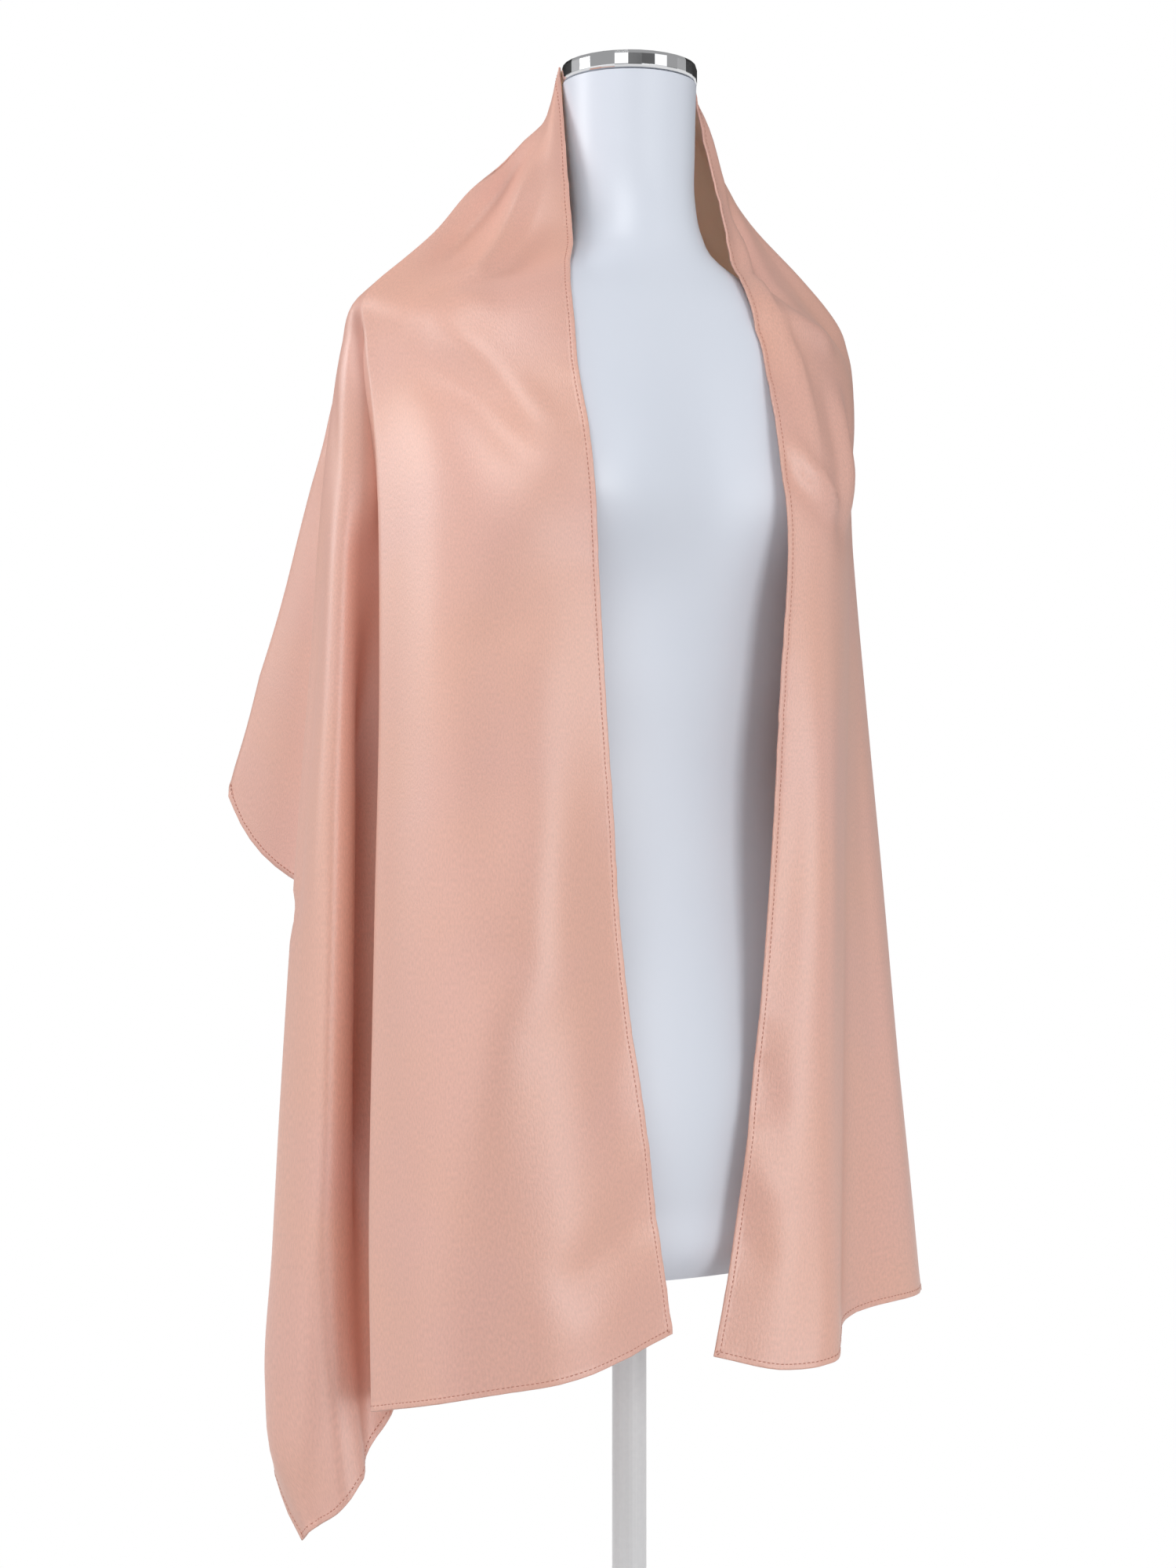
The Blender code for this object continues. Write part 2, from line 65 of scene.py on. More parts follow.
def surface_colour(hex_value):
    """Linear RGBA from an sRGB hex value, as a dyer's swatch gives it."""
    channels = [int(hex_value[i:i + 2], 16) / 255 for i in (1, 3, 5)]
    linear = [c / 12.92 if c <= 0.04045 else ((c + 0.055) / 1.055) ** 2.4 for c in channels]
    return (*linear, 1.0)


def new_material(name):
    """A new material and its surface shader."""
    material = bpy.data.materials.new(name)
    material.use_nodes = True
    return material, material.node_tree.nodes["Principled BSDF"]


def set_node(material, node, inputs=(), links=()):
    """Values on a node's sockets, and the links into the others."""
    for name, value in dict(inputs).items():
        node.inputs[name].default_value = value
    for name, (source, output) in dict(links).items():
        material.node_tree.links.new(source.outputs[output], node.inputs[name])
    return node


def add_node(material, kind, settings=(), inputs=(), links=()):
    """One shader node with its settings, its socket values and the links into it."""
    node = material.node_tree.nodes.new(kind)
    for name, value in dict(settings).items():
        setattr(node, name, value)
    return set_node(material, node, inputs, links)


def lit_board(name, brightness):
    """A face that gives out an even white light and reflects nothing."""
    board, board_shader = new_material(name)
    set_node(board, board_shader,
             {"Base Color": (0.0, 0.0, 0.0, 1.0), "Specular IOR Level": 0.0,
              "Emission Color": (1.0, 1.0, 1.0, 1.0), "Emission Strength": brightness})
    return board


bpy.ops.mesh.primitive_circle_add(vertices=96, radius=9.0, fill_type="NGON", location=(0, 0, 0))
floor = bpy.context.object
floor.name = "studio_floor"
paper, paper_shader = new_material("matte_white_paper_floor")
paper_place = add_node(paper, "ShaderNodeTexCoord")
paper_reach = add_node(paper, "ShaderNodeVectorMath", {"operation": "LENGTH"},
                       links={"Vector": (paper_place, "Object")})
paper_glow = add_node(paper, "ShaderNodeMapRange", {"interpolation_type": "SMOOTHSTEP"},
                      {"From Min": 0.35, "From Max": 1.25},
                      {"Value": (paper_reach, "Value")})
paper_grain = add_node(paper, "ShaderNodeTexNoise", inputs={"Scale": 6.0, "Detail": 3.0},
                       links={"Vector": (paper_place, "Object")})
paper_tone = add_node(paper, "ShaderNodeMapRange", inputs={"To Min": 0.90, "To Max": 0.93},
                      links={"Value": (paper_grain, "Fac")})
set_node(paper, paper_shader, {"Roughness": 0.95}, {"Base Color": (paper_tone, "Result")})
paper_white = add_node(paper, "ShaderNodeEmission", inputs={"Strength": 1.0})
paper_blend = add_node(paper, "ShaderNodeMixShader",
                       links={"Fac": (paper_glow, "Result"), 1: (paper_shader, "BSDF"),
                              2: (paper_white, "Emission")})
set_node(paper, paper.node_tree.nodes["Material Output"],
         links={"Surface": (paper_blend, "Shader")})
floor.data.materials.append(paper)
floor.visible_diffuse = False

bpy.ops.mesh.primitive_uv_sphere_add(segments=64, ring_count=32, radius=9.1)
surround = bpy.context.object
surround.name = "white_surround"
surround.data.materials.append(lit_board("evenly_lit_white_surround", 1.0))
surround.visible_diffuse = False
surround.visible_glossy = False
surround.visible_shadow = False

room = bpy.data.worlds.new("bright_room")
room.use_nodes = True
room.node_tree.nodes["Background"].inputs["Color"].default_value = (1.0, 1.0, 1.0, 1.0)
room.node_tree.nodes["Background"].inputs["Strength"].default_value = 0.45
bpy.context.scene.world = room

# name, bearing in degrees, distance, height, aimed at, width, height, watts
SOFTBOXES = (
    ("left_softbox", 150, 3.0, 2.30, 1.00, 1.0, 1.6, 44),
    ("key_softbox", 222, 2.5, 3.40, 1.00, 1.2, 1.2, 28),
    ("front_softbox", 270, 3.0, 1.10, 1.00, 1.0, 1.6, 28),
)
for name, bearing, distance, height, aim, width, tall, watts in SOFTBOXES:
    turn = math.radians(bearing)
    place = Vector((distance * math.cos(turn), distance * math.sin(turn), height))
    bpy.ops.object.light_add(type="AREA", location=place)
    softbox = bpy.context.object
    softbox.name = name
    softbox.data.shape = "RECTANGLE"
    softbox.data.size = width
    softbox.data.size_y = tall
    softbox.data.energy = watts
    softbox.rotation_euler = (Vector((0, 0, aim)) - place).to_track_quat("-Z", "Y").to_euler()
    softbox.visible_camera = False

# Cards and flags round the set, seen only in what shines. The upper ones give the chrome
# its streaks and dark ends, the lower ones shade the lacquer and part of the satin.
# name, first and last bearing in degrees, bottom, top, brightness
CARDS = (
    ("flag_behind_left", 58, 113, 1.4, 3.4, 0.04),
    ("card_left", 116, 140, 1.7, 3.0, 0.62),
    ("flag_left", 142, 157, 1.4, 3.4, 0.10),
    ("card_window", 212, 228, 1.9, 2.9, 1.60),
    ("card_window_half", 231, 243, 1.9, 2.9, 1.30),
    ("flag_front", 246, 283, 1.7, 3.4, 0.14),
    ("card_arc", 288, 299, 1.7, 3.0, 1.50),
    ("card_line", 321, 324, 1.7, 3.0, 1.50),
    ("card_right", 328, 336, 1.7, 3.0, 0.95),
    ("card_far_line", 349, 353, 1.7, 3.0, 0.80),
    ("flag_behind_right", 358, 417, 1.4, 3.4, 0.05),
    ("low_card_left", 176, 204, 0.0, 1.6, 1.30),
    ("low_flag_camera", 210, 252, 0.0, 1.6, 0.10),
    ("low_card_front", 262, 292, 0.0, 1.6, 1.30),
    ("low_flag_right", 300, 316, 0.0, 1.6, 0.10),
    ("low_card_right", 322, 346, 0.0, 1.6, 1.00),
)
CARD_DISTANCE = 2.9
for name, first, last, bottom, top, brightness in CARDS:
    middle = math.radians((first + last) / 2)
    width = 2 * CARD_DISTANCE * math.tan(math.radians((last - first) / 2))
    bpy.ops.mesh.primitive_plane_add(
        size=1, location=(CARD_DISTANCE * math.cos(middle), CARD_DISTANCE * math.sin(middle),
                          (bottom + top) / 2),
        rotation=(math.pi / 2, 0, middle + math.pi / 2))
    card = bpy.context.object
    card.name = name
    card.scale = (width, top - bottom, 1)
    card.data.materials.append(lit_board(name + "_board", brightness))
    card.visible_camera = False
    card.visible_diffuse = False
    card.visible_shadow = False

# Dress form: a moulded torso from neck to thigh with no limbs, sprayed in a smooth
# semi-gloss white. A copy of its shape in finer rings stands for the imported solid.
MM = 0.001
# The form's rings: height, half width, half depth, centre forward of the axis, squareness
FORM_RINGS = (
    (1467, 48.7, 48.7, 0.0, 2.0),
    (1420, 47.6, 47.6, 0.0, 2.0),
    (1380, 47.2, 47.8, -1.0, 2.0),
    (1356, 51.0, 51.0, -3.0, 2.0),
    (1341, 61.0, 53.0, -4.0, 2.0),
    (1329, 82.0, 56.0, -6.0, 2.0),
    (1317, 112.0, 60.0, -8.0, 2.05),
    (1303, 144.0, 66.0, -9.0, 2.1),
    (1287, 163.0, 71.0, -9.0, 2.15),
    (1265, 172.0, 78.0, -8.0, 2.2),
    (1230, 175.0, 86.0, -6.0, 2.2),
    (1180, 167.0, 93.0, -3.0, 2.2),
    (1120, 155.0, 93.0, -2.0, 2.2),
    (1040, 137.0, 87.0, -2.0, 2.15),
    (960, 126.0, 81.0, -2.0, 2.1),
    (930, 127.0, 81.5, -3.0, 2.1),
    (880, 136.0, 87.0, -4.0, 2.1),
    (800, 155.0, 100.0, -6.0, 2.1),
    (730, 165.0, 108.0, -6.0, 2.1),
    (670, 162.0, 106.0, -5.0, 2.1),
    (622, 155.0, 100.0, -3.0, 2.1),
    (618, 151.0, 96.0, -3.0, 2.1),
)
BUST_X, BUST_HEIGHT = 80.0, 1165.0
BUST_RISE = 33.0
BUST_SPREAD_X, BUST_SPREAD_UP, BUST_SPREAD_DOWN = 40.0, 62.0, 36.0
FORM_AROUND, FORM_UP = 160, 150     # faces round the form and up it


def hermite(start, end, slope_in, slope_out, share):
    """A smooth curve between two values, with its slope at either end."""
    square = share * share
    cube = square * share
    return (start * (2 * cube - 3 * square + 1) + slope_in * (cube - 2 * square + share)
            + end * (3 * square - 2 * cube) + slope_out * (cube - square))


def smooth_rows(rows, height):
    """Value columns of a table at a height, on one smooth curve through its rows."""
    rows = sorted(rows, reverse=True)
    if height >= rows[0][0]:
        return rows[0][1:]
    if height <= rows[-1][0]:
        return rows[-1][1:]
    last = len(rows) - 1
    place = next(i for i in range(last) if rows[i + 1][0] <= height)
    above, below = rows[place], rows[place + 1]
    span = below[0] - above[0]
    share = (height - above[0]) / span
    values = []
    for column in range(1, len(above)):
        step = (below[column] - above[column]) / span
        slopes = []
        for end in (place, place + 1):
            if end in (0, last):
                slopes.append(step)
                continue
            before = rows[end][0] - rows[end - 1][0]
            after = rows[end + 1][0] - rows[end][0]
            rise_in = (rows[end][column] - rows[end - 1][column]) / before
            rise_out = (rows[end + 1][column] - rows[end][column]) / after
            slopes.append((rise_in * after + rise_out * before) / (before + after))
        values.append(hermite(above[column], below[column],
                              slopes[0] * span, slopes[1] * span, share))
    return tuple(values)


RING_STEP = 1.0     # mm between the heights at which the form's rings are worked out
ring_heights = np.arange(FORM_RINGS[-1][0], FORM_RINGS[0][0] + RING_STEP, RING_STEP)
ring_values = np.array([smooth_rows(FORM_RINGS, height) for height in ring_heights])


def form_ring(height):
    """Half width, half depth, centre and squareness of the form at some heights."""
    return [np.interp(height, ring_heights, ring_values[:, column]) for column in range(4)]


def form_radius(angle, height):
    """Radius of the form from its ring's centre, with the bust raised at the front."""
    half_width, half_depth, _, squareness = form_ring(height)
    across, deep = np.abs(np.cos(angle)), np.abs(np.sin(angle))
    radius = ((across / half_width) ** squareness
              + (deep / half_depth) ** squareness) ** (-1 / squareness)
    forward = np.maximum(0.0, -np.sin(angle))
    sides = [(radius * np.cos(angle) - x) / BUST_SPREAD_X for x in (-BUST_X, BUST_X)]
    spread = np.where(height > BUST_HEIGHT, BUST_SPREAD_UP, BUST_SPREAD_DOWN)
    rise = (height - BUST_HEIGHT) / spread
    mounds = sum(np.exp(-(side ** 2 + rise ** 2) / 2) for side in sides)
    return radius + BUST_RISE * forward * (2 - forward) * mounds


bpy.ops.object.select_all(action="DESELECT")
bpy.ops.mesh.primitive_grid_add(x_subdivisions=FORM_AROUND, y_subdivisions=FORM_UP, size=1)
form_shell = bpy.context.object
form_shell.name = "form_shell"
form_points = np.zeros(len(form_shell.data.vertices) * 3)
form_shell.data.vertices.foreach_get("co", form_points)
form_points = form_points.reshape(-1, 3)
turn = (form_points[:, 0] + 0.5) * 2 * math.pi
level = FORM_RINGS[-1][0] + (form_points[:, 1] + 0.5) * (FORM_RINGS[0][0] - FORM_RINGS[-1][0])
reach = form_radius(turn, level)
form_points = np.stack((reach * np.cos(turn), form_ring(level)[2] + reach * np.sin(turn), level), 1)
form_shell.data.vertices.foreach_set("co", (form_points * MM).ravel())
bpy.ops.object.mode_set(mode="EDIT")
bpy.ops.mesh.select_all(action="SELECT")
bpy.ops.mesh.remove_doubles(threshold=0.00001)
bpy.ops.mesh.select_all(action="DESELECT")
bpy.ops.mesh.select_non_manifold()
bpy.ops.mesh.edge_face_add()
bpy.ops.mesh.select_all(action="SELECT")
bpy.ops.mesh.normals_make_consistent(inside=False)
bpy.ops.object.mode_set(mode="OBJECT")
bpy.ops.object.shade_smooth_by_angle(angle=math.radians(40))

# Sprayed semi-gloss lacquer on glass fibre: cool white, a faint orange peel that only
# the highlights show, and slightly duller patches where cloth has rubbed it.
lacquer, lacquer_shader = new_material("sprayed_white_lacquer")
lacquer_place = add_node(lacquer, "ShaderNodeTexCoord")
lacquer_cloud = add_node(lacquer, "ShaderNodeTexNoise", inputs={"Scale": 7.0, "Detail": 3.0},
                         links={"Vector": (lacquer_place, "Object")})
lacquer_tone = add_node(lacquer, "ShaderNodeMix", {"data_type": "RGBA"},
                        {"A": surface_colour("#DCE2EE"), "B": surface_colour("#E2E7F1")},
                        {"Factor": (lacquer_cloud, "Fac")})
lacquer_rub = add_node(lacquer, "ShaderNodeMapRange", inputs={"To Min": 0.34, "To Max": 0.44},
                       links={"Value": (lacquer_cloud, "Fac")})
lacquer_peel = add_node(lacquer, "ShaderNodeTexNoise", inputs={"Scale": 420.0, "Detail": 1.0},
                        links={"Vector": (lacquer_place, "Object")})
lacquer_bump = add_node(lacquer, "ShaderNodeBump", inputs={"Strength": 0.12, "Distance": 0.0003},
                        links={"Height": (lacquer_peel, "Fac")})
set_node(lacquer, lacquer_shader,
         links={"Base Color": (lacquer_tone, "Result"), "Roughness": (lacquer_rub, "Result"),
                "Normal": (lacquer_bump, "Normal")})
form_shell.data.materials.append(lacquer)
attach(form_shell, "root")
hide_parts("form_body")

# Neck cap: a turned steel cap, polished and chromed, pressed into the neck. Its solid
# stays and gets this finish.


def refinish(node, material):
    """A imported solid, with a material of its own."""
    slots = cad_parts[node].data.materials
    slots.clear()
    slots.append(material)


# Plated chrome: a near mirror, whose faint haze softens the streaks that it shows. A bump
# rounds its lower rim, as rolling leaves it.
chrome, chrome_shader = new_material("polished_chrome_plate")
chrome_place = add_node(chrome, "ShaderNodeTexCoord")
chrome_haze = add_node(chrome, "ShaderNodeTexNoise", inputs={"Scale": 55.0, "Detail": 4.0},
                       links={"Vector": (chrome_place, "Object")})
chrome_polish = add_node(chrome, "ShaderNodeMapRange", inputs={"To Min": 0.06, "To Max": 0.13},
                         links={"Value": (chrome_haze, "Fac")})
chrome_height = add_node(chrome, "ShaderNodeSeparateXYZ", links={"Vector": (chrome_place, "Object")})
chrome_roll = add_node(chrome, "ShaderNodeMapRange", {"interpolation_type": "SMOOTHSTEP"},
                       {"From Min": 1.4665, "From Max": 1.4705}, {"Value": (chrome_height, "Z")})
chrome_bead = add_node(chrome, "ShaderNodeBump", inputs={"Strength": 1.0, "Distance": 0.0022},
                       links={"Height": (chrome_roll, "Result")})
set_node(chrome, chrome_shader, {"Base Color": surface_colour("#D9DADC"), "Metallic": 1.0},
         {"Roughness": (chrome_polish, "Result"), "Normal": (chrome_bead, "Normal")})
refinish("neck_cap", chrome)

# Stand: a socket screwed under the form, a steel tube and a round steel disc. All are
# stoved in white enamel: an even white with a soft shine and a fine flow texture that
# breaks it a little. Their solids stay.
enamel, enamel_shader = new_material("stoved_white_enamel")
enamel_place = add_node(enamel, "ShaderNodeTexCoord")
enamel_flow = add_node(enamel, "ShaderNodeTexNoise", inputs={"Scale": 260.0, "Detail": 2.0},
                       links={"Vector": (enamel_place, "Object")})
enamel_tone = add_node(enamel, "ShaderNodeMix", {"data_type": "RGBA"},
                       {"A": surface_colour("#E4E4E6"), "B": surface_colour("#EDEDEE")},
                       {"Factor": (enamel_flow, "Fac")})
enamel_bump = add_node(enamel, "ShaderNodeBump", inputs={"Strength": 0.1, "Distance": 0.0003},
                       links={"Height": (enamel_flow, "Fac")})
set_node(enamel, enamel_shader, {"Roughness": 0.35},
         {"Base Color": (enamel_tone, "Result"), "Normal": (enamel_bump, "Normal")})
for node in ("form_socket", "stand_pole", "stand_base"):
    refinish(node, enamel)

# Stole: one rectangle of crepe-backed satin, cut and hemmed. It lies over the shoulders by
# its own weight, so that its upper edge rings the neck cap and both ends hang in front.
CLOTH_WALL = 0.9            # thicker than the real cloth, so that its edge can be seen
FOLD_RADIUS = 5.0           # roundness of a crisp fold
FOLD_COLUMNS = 3            # columns each side of it that follow its arc
FOLD_SHARE = 0.6            # the most of the cloth beside it that its arc takes up
CLOTH_NECK_RADIUS = 50.7    # where the upper edge lies round the cap
CLOTH_TOP = 1480.0
CLOTH_DROP_END = 1400.0     # below this a line's top drop is worked off
CLOTH_REST_GAP = 2.0        # cloth's middle to the form, round the neck
CLOTH_BODY_GAP = 6.0        # and over the shoulders and body
CLOTH_LEAST_GAP = 1.6       # the least that a fold may leave
CLOTH_CLEAR_TOP = 1450.0    # above this the cloth stands off the neck by its own radius
CLOTH_CLEAR_EASE = 130.0    # height over which the gap grows
LEVEL_SECTIONS_END = 1167.0
TAIL_SHARED_END = 885.0     # where the back hem meets the tails' outer edges

# Lines of the cloth, from the neck to the hem. Each has its angle round the neck in
# degrees from +X, how far its top lies below CLOTH_TOP, and rows of (height, x, y).
RIGHT_LINES = {
    "front_edge": (151.0, 0.0, (
        (1450, -50, 12), (1396, -56, -5), (1335, -69, -34), (1313, -82, -57),
        (1283, -90, -74), (1237, -93, -88), (1201, -97, -103), (1166, -102, -115),
        (1099, -103, -122), (892, -89, -125), (669, -66, -136), (592, -57, -141))),
    "near_panel": (147.5, 0.0, (
        (1450, -56, 11), (1394, -71, -4), (1336, -93, -21), (1310, -112, -42),
        (1281, -128, -62), (1237, -135, -76), (1200, -142, -90), (1165, -147, -99),
        (1098, -150, -106), (893, -151, -121), (676, -141, -136), (571, -132, -143))),
    "far_panel": (144.0, 0.0, (
        (1437, -59, 21), (1395, -86, 11), (1336, -129, 3), (1285, -166, -21),
        (1238, -176, -36), (1167, -186, -58), (1099, -190, -68), (893, -199, -83),
        (675, -202, -95), (557, -197, -102))),
    "crisp_fold": (139.0, 0.0, (
        (1460, -45, 32), (1439, -54, 30), (1425, -72, 27), (1404, -94, 25), (1383, -118, 24),
        (1346, -151, 23), (1322, -179, 22), (1309, -195, 21), (1297, -206, 18),
        (1268, -207, 14), (1191, -206, 2), (1040, -208, -8), (870, -215, -14),
        (634, -229, -32), (541, -231, -39))),
    "valley": (134.0, 0.0, (
        (1460, -41, 35), (1439, -50, 34), (1404, -90, 31), (1346, -148, 30), (1309, -191, 28),
        (1297, -201, 27), (1268, -200, 28), (1238, -197, 28), (1195, -191, 30),
        (1134, -185, 33), (972, -177, 38), (767, -178, 35), (631, -180, 29),
        (527, -185, 16))),
    "side_fold": (130.0, 0.0, (
        (1460, -38, 38), (1439, -46, 38), (1404, -86, 36), (1346, -146, 36), (1309, -191, 35),
        (1297, -204, 33), (1268, -208, 33), (1176, -214, 33), (1041, -220, 31),
        (852, -229, 27), (717, -234, 26), (584, -240, 23), (461, -229, 13))),
    "side_turn": (125.0, 0.0, (
        (1460, -34, 41), (1439, -42, 43), (1404, -82, 42), (1346, -142, 43), (1309, -188, 42),
        (1297, -202, 40), (1267, -208, 48), (1217, -213, 56), (1135, -217, 67),
        (1071, -219, 72), (972, -225, 76), (767, -238, 80), (635, -246, 81),
        (539, -254, 76), (490, -255, 60), (447, -241, 30))),
    "outer_edge": (118.0, 0.0, (
        (1460, -28, 45), (1439, -36, 49), (1404, -75, 50), (1346, -134, 52), (1309, -180, 50),
        (1297, -193, 49), (1270, -196, 58), (1238, -197, 67), (1189, -196, 81),
        (1129, -195, 95), (1045, -193, 110), (960, -193, 122), (870, -196, 130),
        (761, -208, 124), (627, -222, 115), (541, -235, 100), (490, -244, 84),
        (460, -247, 62), (438, -243, 40))),
}
BACK_LINES = {
    "right_flare": (111.0, 0.0, (
        (1450, -31, 51), (1404, -66, 63), (1346, -120, 73), (1297, -168, 79),
        (1250, -192, 83), (1199, -199, 99), (1154, -201, 124), (1106, -205, 146),
        (1047, -213, 169), (1001, -219, 184), (958, -226, 200))),
    "right_hollow": (103.0, 0.0, (
        (1450, -19, 57), (1404, -43, 69), (1346, -88, 85), (1297, -130, 96),
        (1240, -154, 104), (1167, -162, 116), (1100, -161, 128), (1000, -158, 142),
        (885, -155, 152))),
    "right_blade": (96.5, 0.0, (
        (1450, -9, 59), (1404, -18, 71), (1346, -42, 91), (1297, -66, 106),
        (1240, -83, 117), (1167, -92, 127), (1000, -98, 148), (822, -104, 166))),
    "centre_back": (90.0, 0.0, (
        (1450, 0, 59), (1404, 0, 69), (1346, 0, 86), (1297, -1, 99),
        (1240, -3, 109), (1167, -5, 114), (1000, -8, 118), (792, -10, 122))),
    "left_blade": (83.5, 0.0, (
        (1450, 9, 59), (1404, 18, 71), (1346, 40, 90), (1297, 63, 105),
        (1240, 78, 117), (1167, 86, 126), (1000, 90, 144), (815, 92, 160))),
    "left_hollow": (77.0, 0.0, (
        (1450, 19, 57), (1404, 42, 69), (1346, 84, 85), (1297, 126, 95),
        (1240, 148, 102), (1167, 156, 113), (1100, 155, 122), (1000, 152, 133),
        (875, 148, 140))),
    "left_flare": (69.0, 0.0, (
        (1450, 31, 51), (1404, 66, 63), (1346, 119, 73), (1297, 164, 78),
        (1250, 187, 84), (1199, 194, 99), (1154, 197, 120), (1106, 201, 140),
        (1047, 208, 160), (1001, 213, 174), (948, 219, 188))),
}
LEFT_LINES = {
    "front_edge": (-14.0, 11.0, (
        (1450, 51, -17), (1403, 53, -30), (1365, 55, -42), (1335, 53, -54),
        (1313, 49, -71), (1268, 50, -89), (1227, 48, -110), (1192, 46, -122),
        (1157, 48, -127), (1027, 44, -126), (927, 38, -126), (771, 21, -128),
        (627, -4, -132), (571, -18, -134))),
    "collar_crease": (-2.0, 8.0, (
        (1450, 62, -10), (1419, 71, -11), (1400, 75, -13), (1382, 78, -16),
        (1350, 80, -31), (1309, 73, -60),
        (1274, 73, -81), (1229, 75, -107), (1190, 73, -122), (1156, 75, -128),
        (1071, 75, -129), (960, 72, -132), (769, 55, -142), (561, 27, -157))),
    "bust_fold": (9.0, 6.0, (
        (1450, 60, 0), (1420, 73, -4), (1380, 93, -9), (1340, 116, -15),
        (1300, 128, -47), (1250, 130, -70), (1200, 126, -88), (1160, 124, -95),
        (1073, 127, -93), (938, 112, -108), (767, 92, -130), (563, 62, -159))),
    "front_valley": (19.0, 4.0, (
        (1450, 60, 9), (1420, 80, 6), (1380, 108, 4), (1340, 142, 1),
        (1310, 160, -12), (1280, 161, -33), (1250, 158, -48), (1200, 152, -58),
        (1160, 148, -66), (1075, 142, -75), (937, 134, -85), (763, 120, -101),
        (581, 102, -123))),
    "front_corner": (29.0, 2.0, (
        (1452, 62, 19), (1419, 84, 17), (1380, 122, 18), (1345, 167, 17),
        (1327, 186, 16), (1308, 199, 12), (1290, 201, 6), (1243, 196, -5),
        (1185, 187, -18), (1116, 176, -38), (1018, 172, -54), (937, 171, -65),
        (758, 177, -84), (668, 181, -95), (588, 184, -104))),
    "side_face": (37.0, 0.0, (
        (1452, 56, 27), (1404, 96, 26), (1346, 156, 26), (1309, 195, 24),
        (1290, 200, 20), (1243, 201, 13), (1185, 199, 4), (1116, 197, -6),
        (1018, 200, -16), (844, 209, -26), (668, 215, -36), (583, 218, -42))),
    "side_hollow": (44.0, 0.0, (
        (1455, 50, 33), (1404, 92, 33), (1346, 150, 33), (1309, 190, 32),
        (1290, 200, 29), (1243, 195, 30), (1116, 187, 33), (937, 184, 36),
        (758, 188, 34), (575, 194, 22))),
    "side_fold": (52.0, 0.0, (
        (1455, 44, 39), (1404, 85, 41), (1346, 144, 42), (1309, 185, 41),
        (1290, 200, 39), (1243, 210, 46), (1116, 218, 57), (937, 225, 66),
        (758, 233, 68), (640, 236, 62), (572, 234, 52))),
    "outer_edge": (62.0, 0.0, (
        (1455, 33, 46), (1404, 75, 50), (1346, 134, 52), (1309, 178, 51),
        (1290, 191, 50), (1243, 195, 66), (1185, 195, 82), (1045, 192, 108),
        (960, 193, 120), (870, 196, 127), (761, 206, 121), (627, 219, 108),
        (560, 226, 94), (520, 226, 80))),
}
lines = [*RIGHT_LINES.values(), *BACK_LINES.values(), *reversed(LEFT_LINES.values())]
RIGHT_OUTER, LEFT_OUTER, CRISP_FOLD = 7, 15, 3      # places of these lines in the list
RIGHT_FLARE, LEFT_FLARE = 8, 14
# Columns between each line and the next, round the body from one front edge to the other
SPAN_COLUMNS = (15, 12, 14, 15, 18, 12, 10, 9, 9, 10, 10, 10, 10, 9, 9, 11, 11, 12, 12, 15,
                12, 11, 12)
LEVEL_ROWS, LEANING_ROWS, TAIL_ROWS = 64, 46, 72
LEAST_STEP = 0.01           # mm, so that two points in one place still give a direction
EDGE_CROWDING = 1.5         # how much closer the columns stand beside an edge or crisp fold


def clear_of_form(points, rest_gap, body_gap, soft=True):
    """The points moved outwards where they would lie on or in the form."""
    x, y, height = points[..., 0], points[..., 1], points[..., 2]
    centre = form_ring(height)[2]
    grown = np.clip((CLOTH_CLEAR_TOP - height) / CLOTH_CLEAR_EASE, 0, 1)
    gap = rest_gap + (body_gap - rest_gap) * grown
    distance = np.hypot(x, y - centre)
    least = form_radius(np.arctan2(y - centre, x), height) + gap
    if soft:
        over = (distance - least) / gap
        eased = np.where(over <= -1, least, least + gap * (over + 1) ** 2 / 4)
        target = np.where(over >= 1, distance, np.maximum(distance, eased))
    else:
        target = np.maximum(distance, least)
    target = np.where((height > CLOTH_CLEAR_TOP) | (height < FORM_RINGS[-1][0]), distance, target)
    scale = target / distance
    return np.stack((x * scale, centre + (y - centre) * scale, height), -1)


def line_point(line, height):
    """A line's point at a height, on one curve from the neck through its rows."""
    angle, drop, rows = line
    neck = (CLOTH_TOP, CLOTH_NECK_RADIUS * math.cos(math.radians(angle)),
            CLOTH_NECK_RADIUS * math.sin(math.radians(angle)))
    x, y = smooth_rows((neck,) + rows, height)
    lowered = drop * max(0.0, (height - CLOTH_DROP_END) / (CLOTH_TOP - CLOTH_DROP_END))
    return (x, y, height - lowered)


def line_heights(place, line):
    """Heights of a line's points: level at first, then leaning towards its hem."""
    hem = line[2][-1][0]
    on_tail = place <= RIGHT_OUTER or place >= LEFT_OUTER
    end = TAIL_SHARED_END if on_tail else hem
    level = np.linspace(CLOTH_TOP, LEVEL_SECTIONS_END, LEVEL_ROWS + 1)
    leaning = np.linspace(LEVEL_SECTIONS_END, end, LEANING_ROWS + 1)[1:]
    tail = end + (hem - end) * np.arange(1, TAIL_ROWS + 1) / TAIL_ROWS
    return np.concatenate((level, leaning, tail if on_tail else np.full(TAIL_ROWS, hem)))


def column_shares(place):
    """Shares of a span at which its columns stand, closer beside an edge or crisp fold."""
    even = np.arange(SPAN_COLUMNS[place]) / SPAN_COLUMNS[place]
    crowded_start = place in (0, CRISP_FOLD)
    crowded_end = place in (CRISP_FOLD - 1, len(SPAN_COLUMNS) - 1)
    if crowded_start:
        return even ** EDGE_CROWDING
    if crowded_end:
        return 1 - (1 - even) ** EDGE_CROWDING
    return even


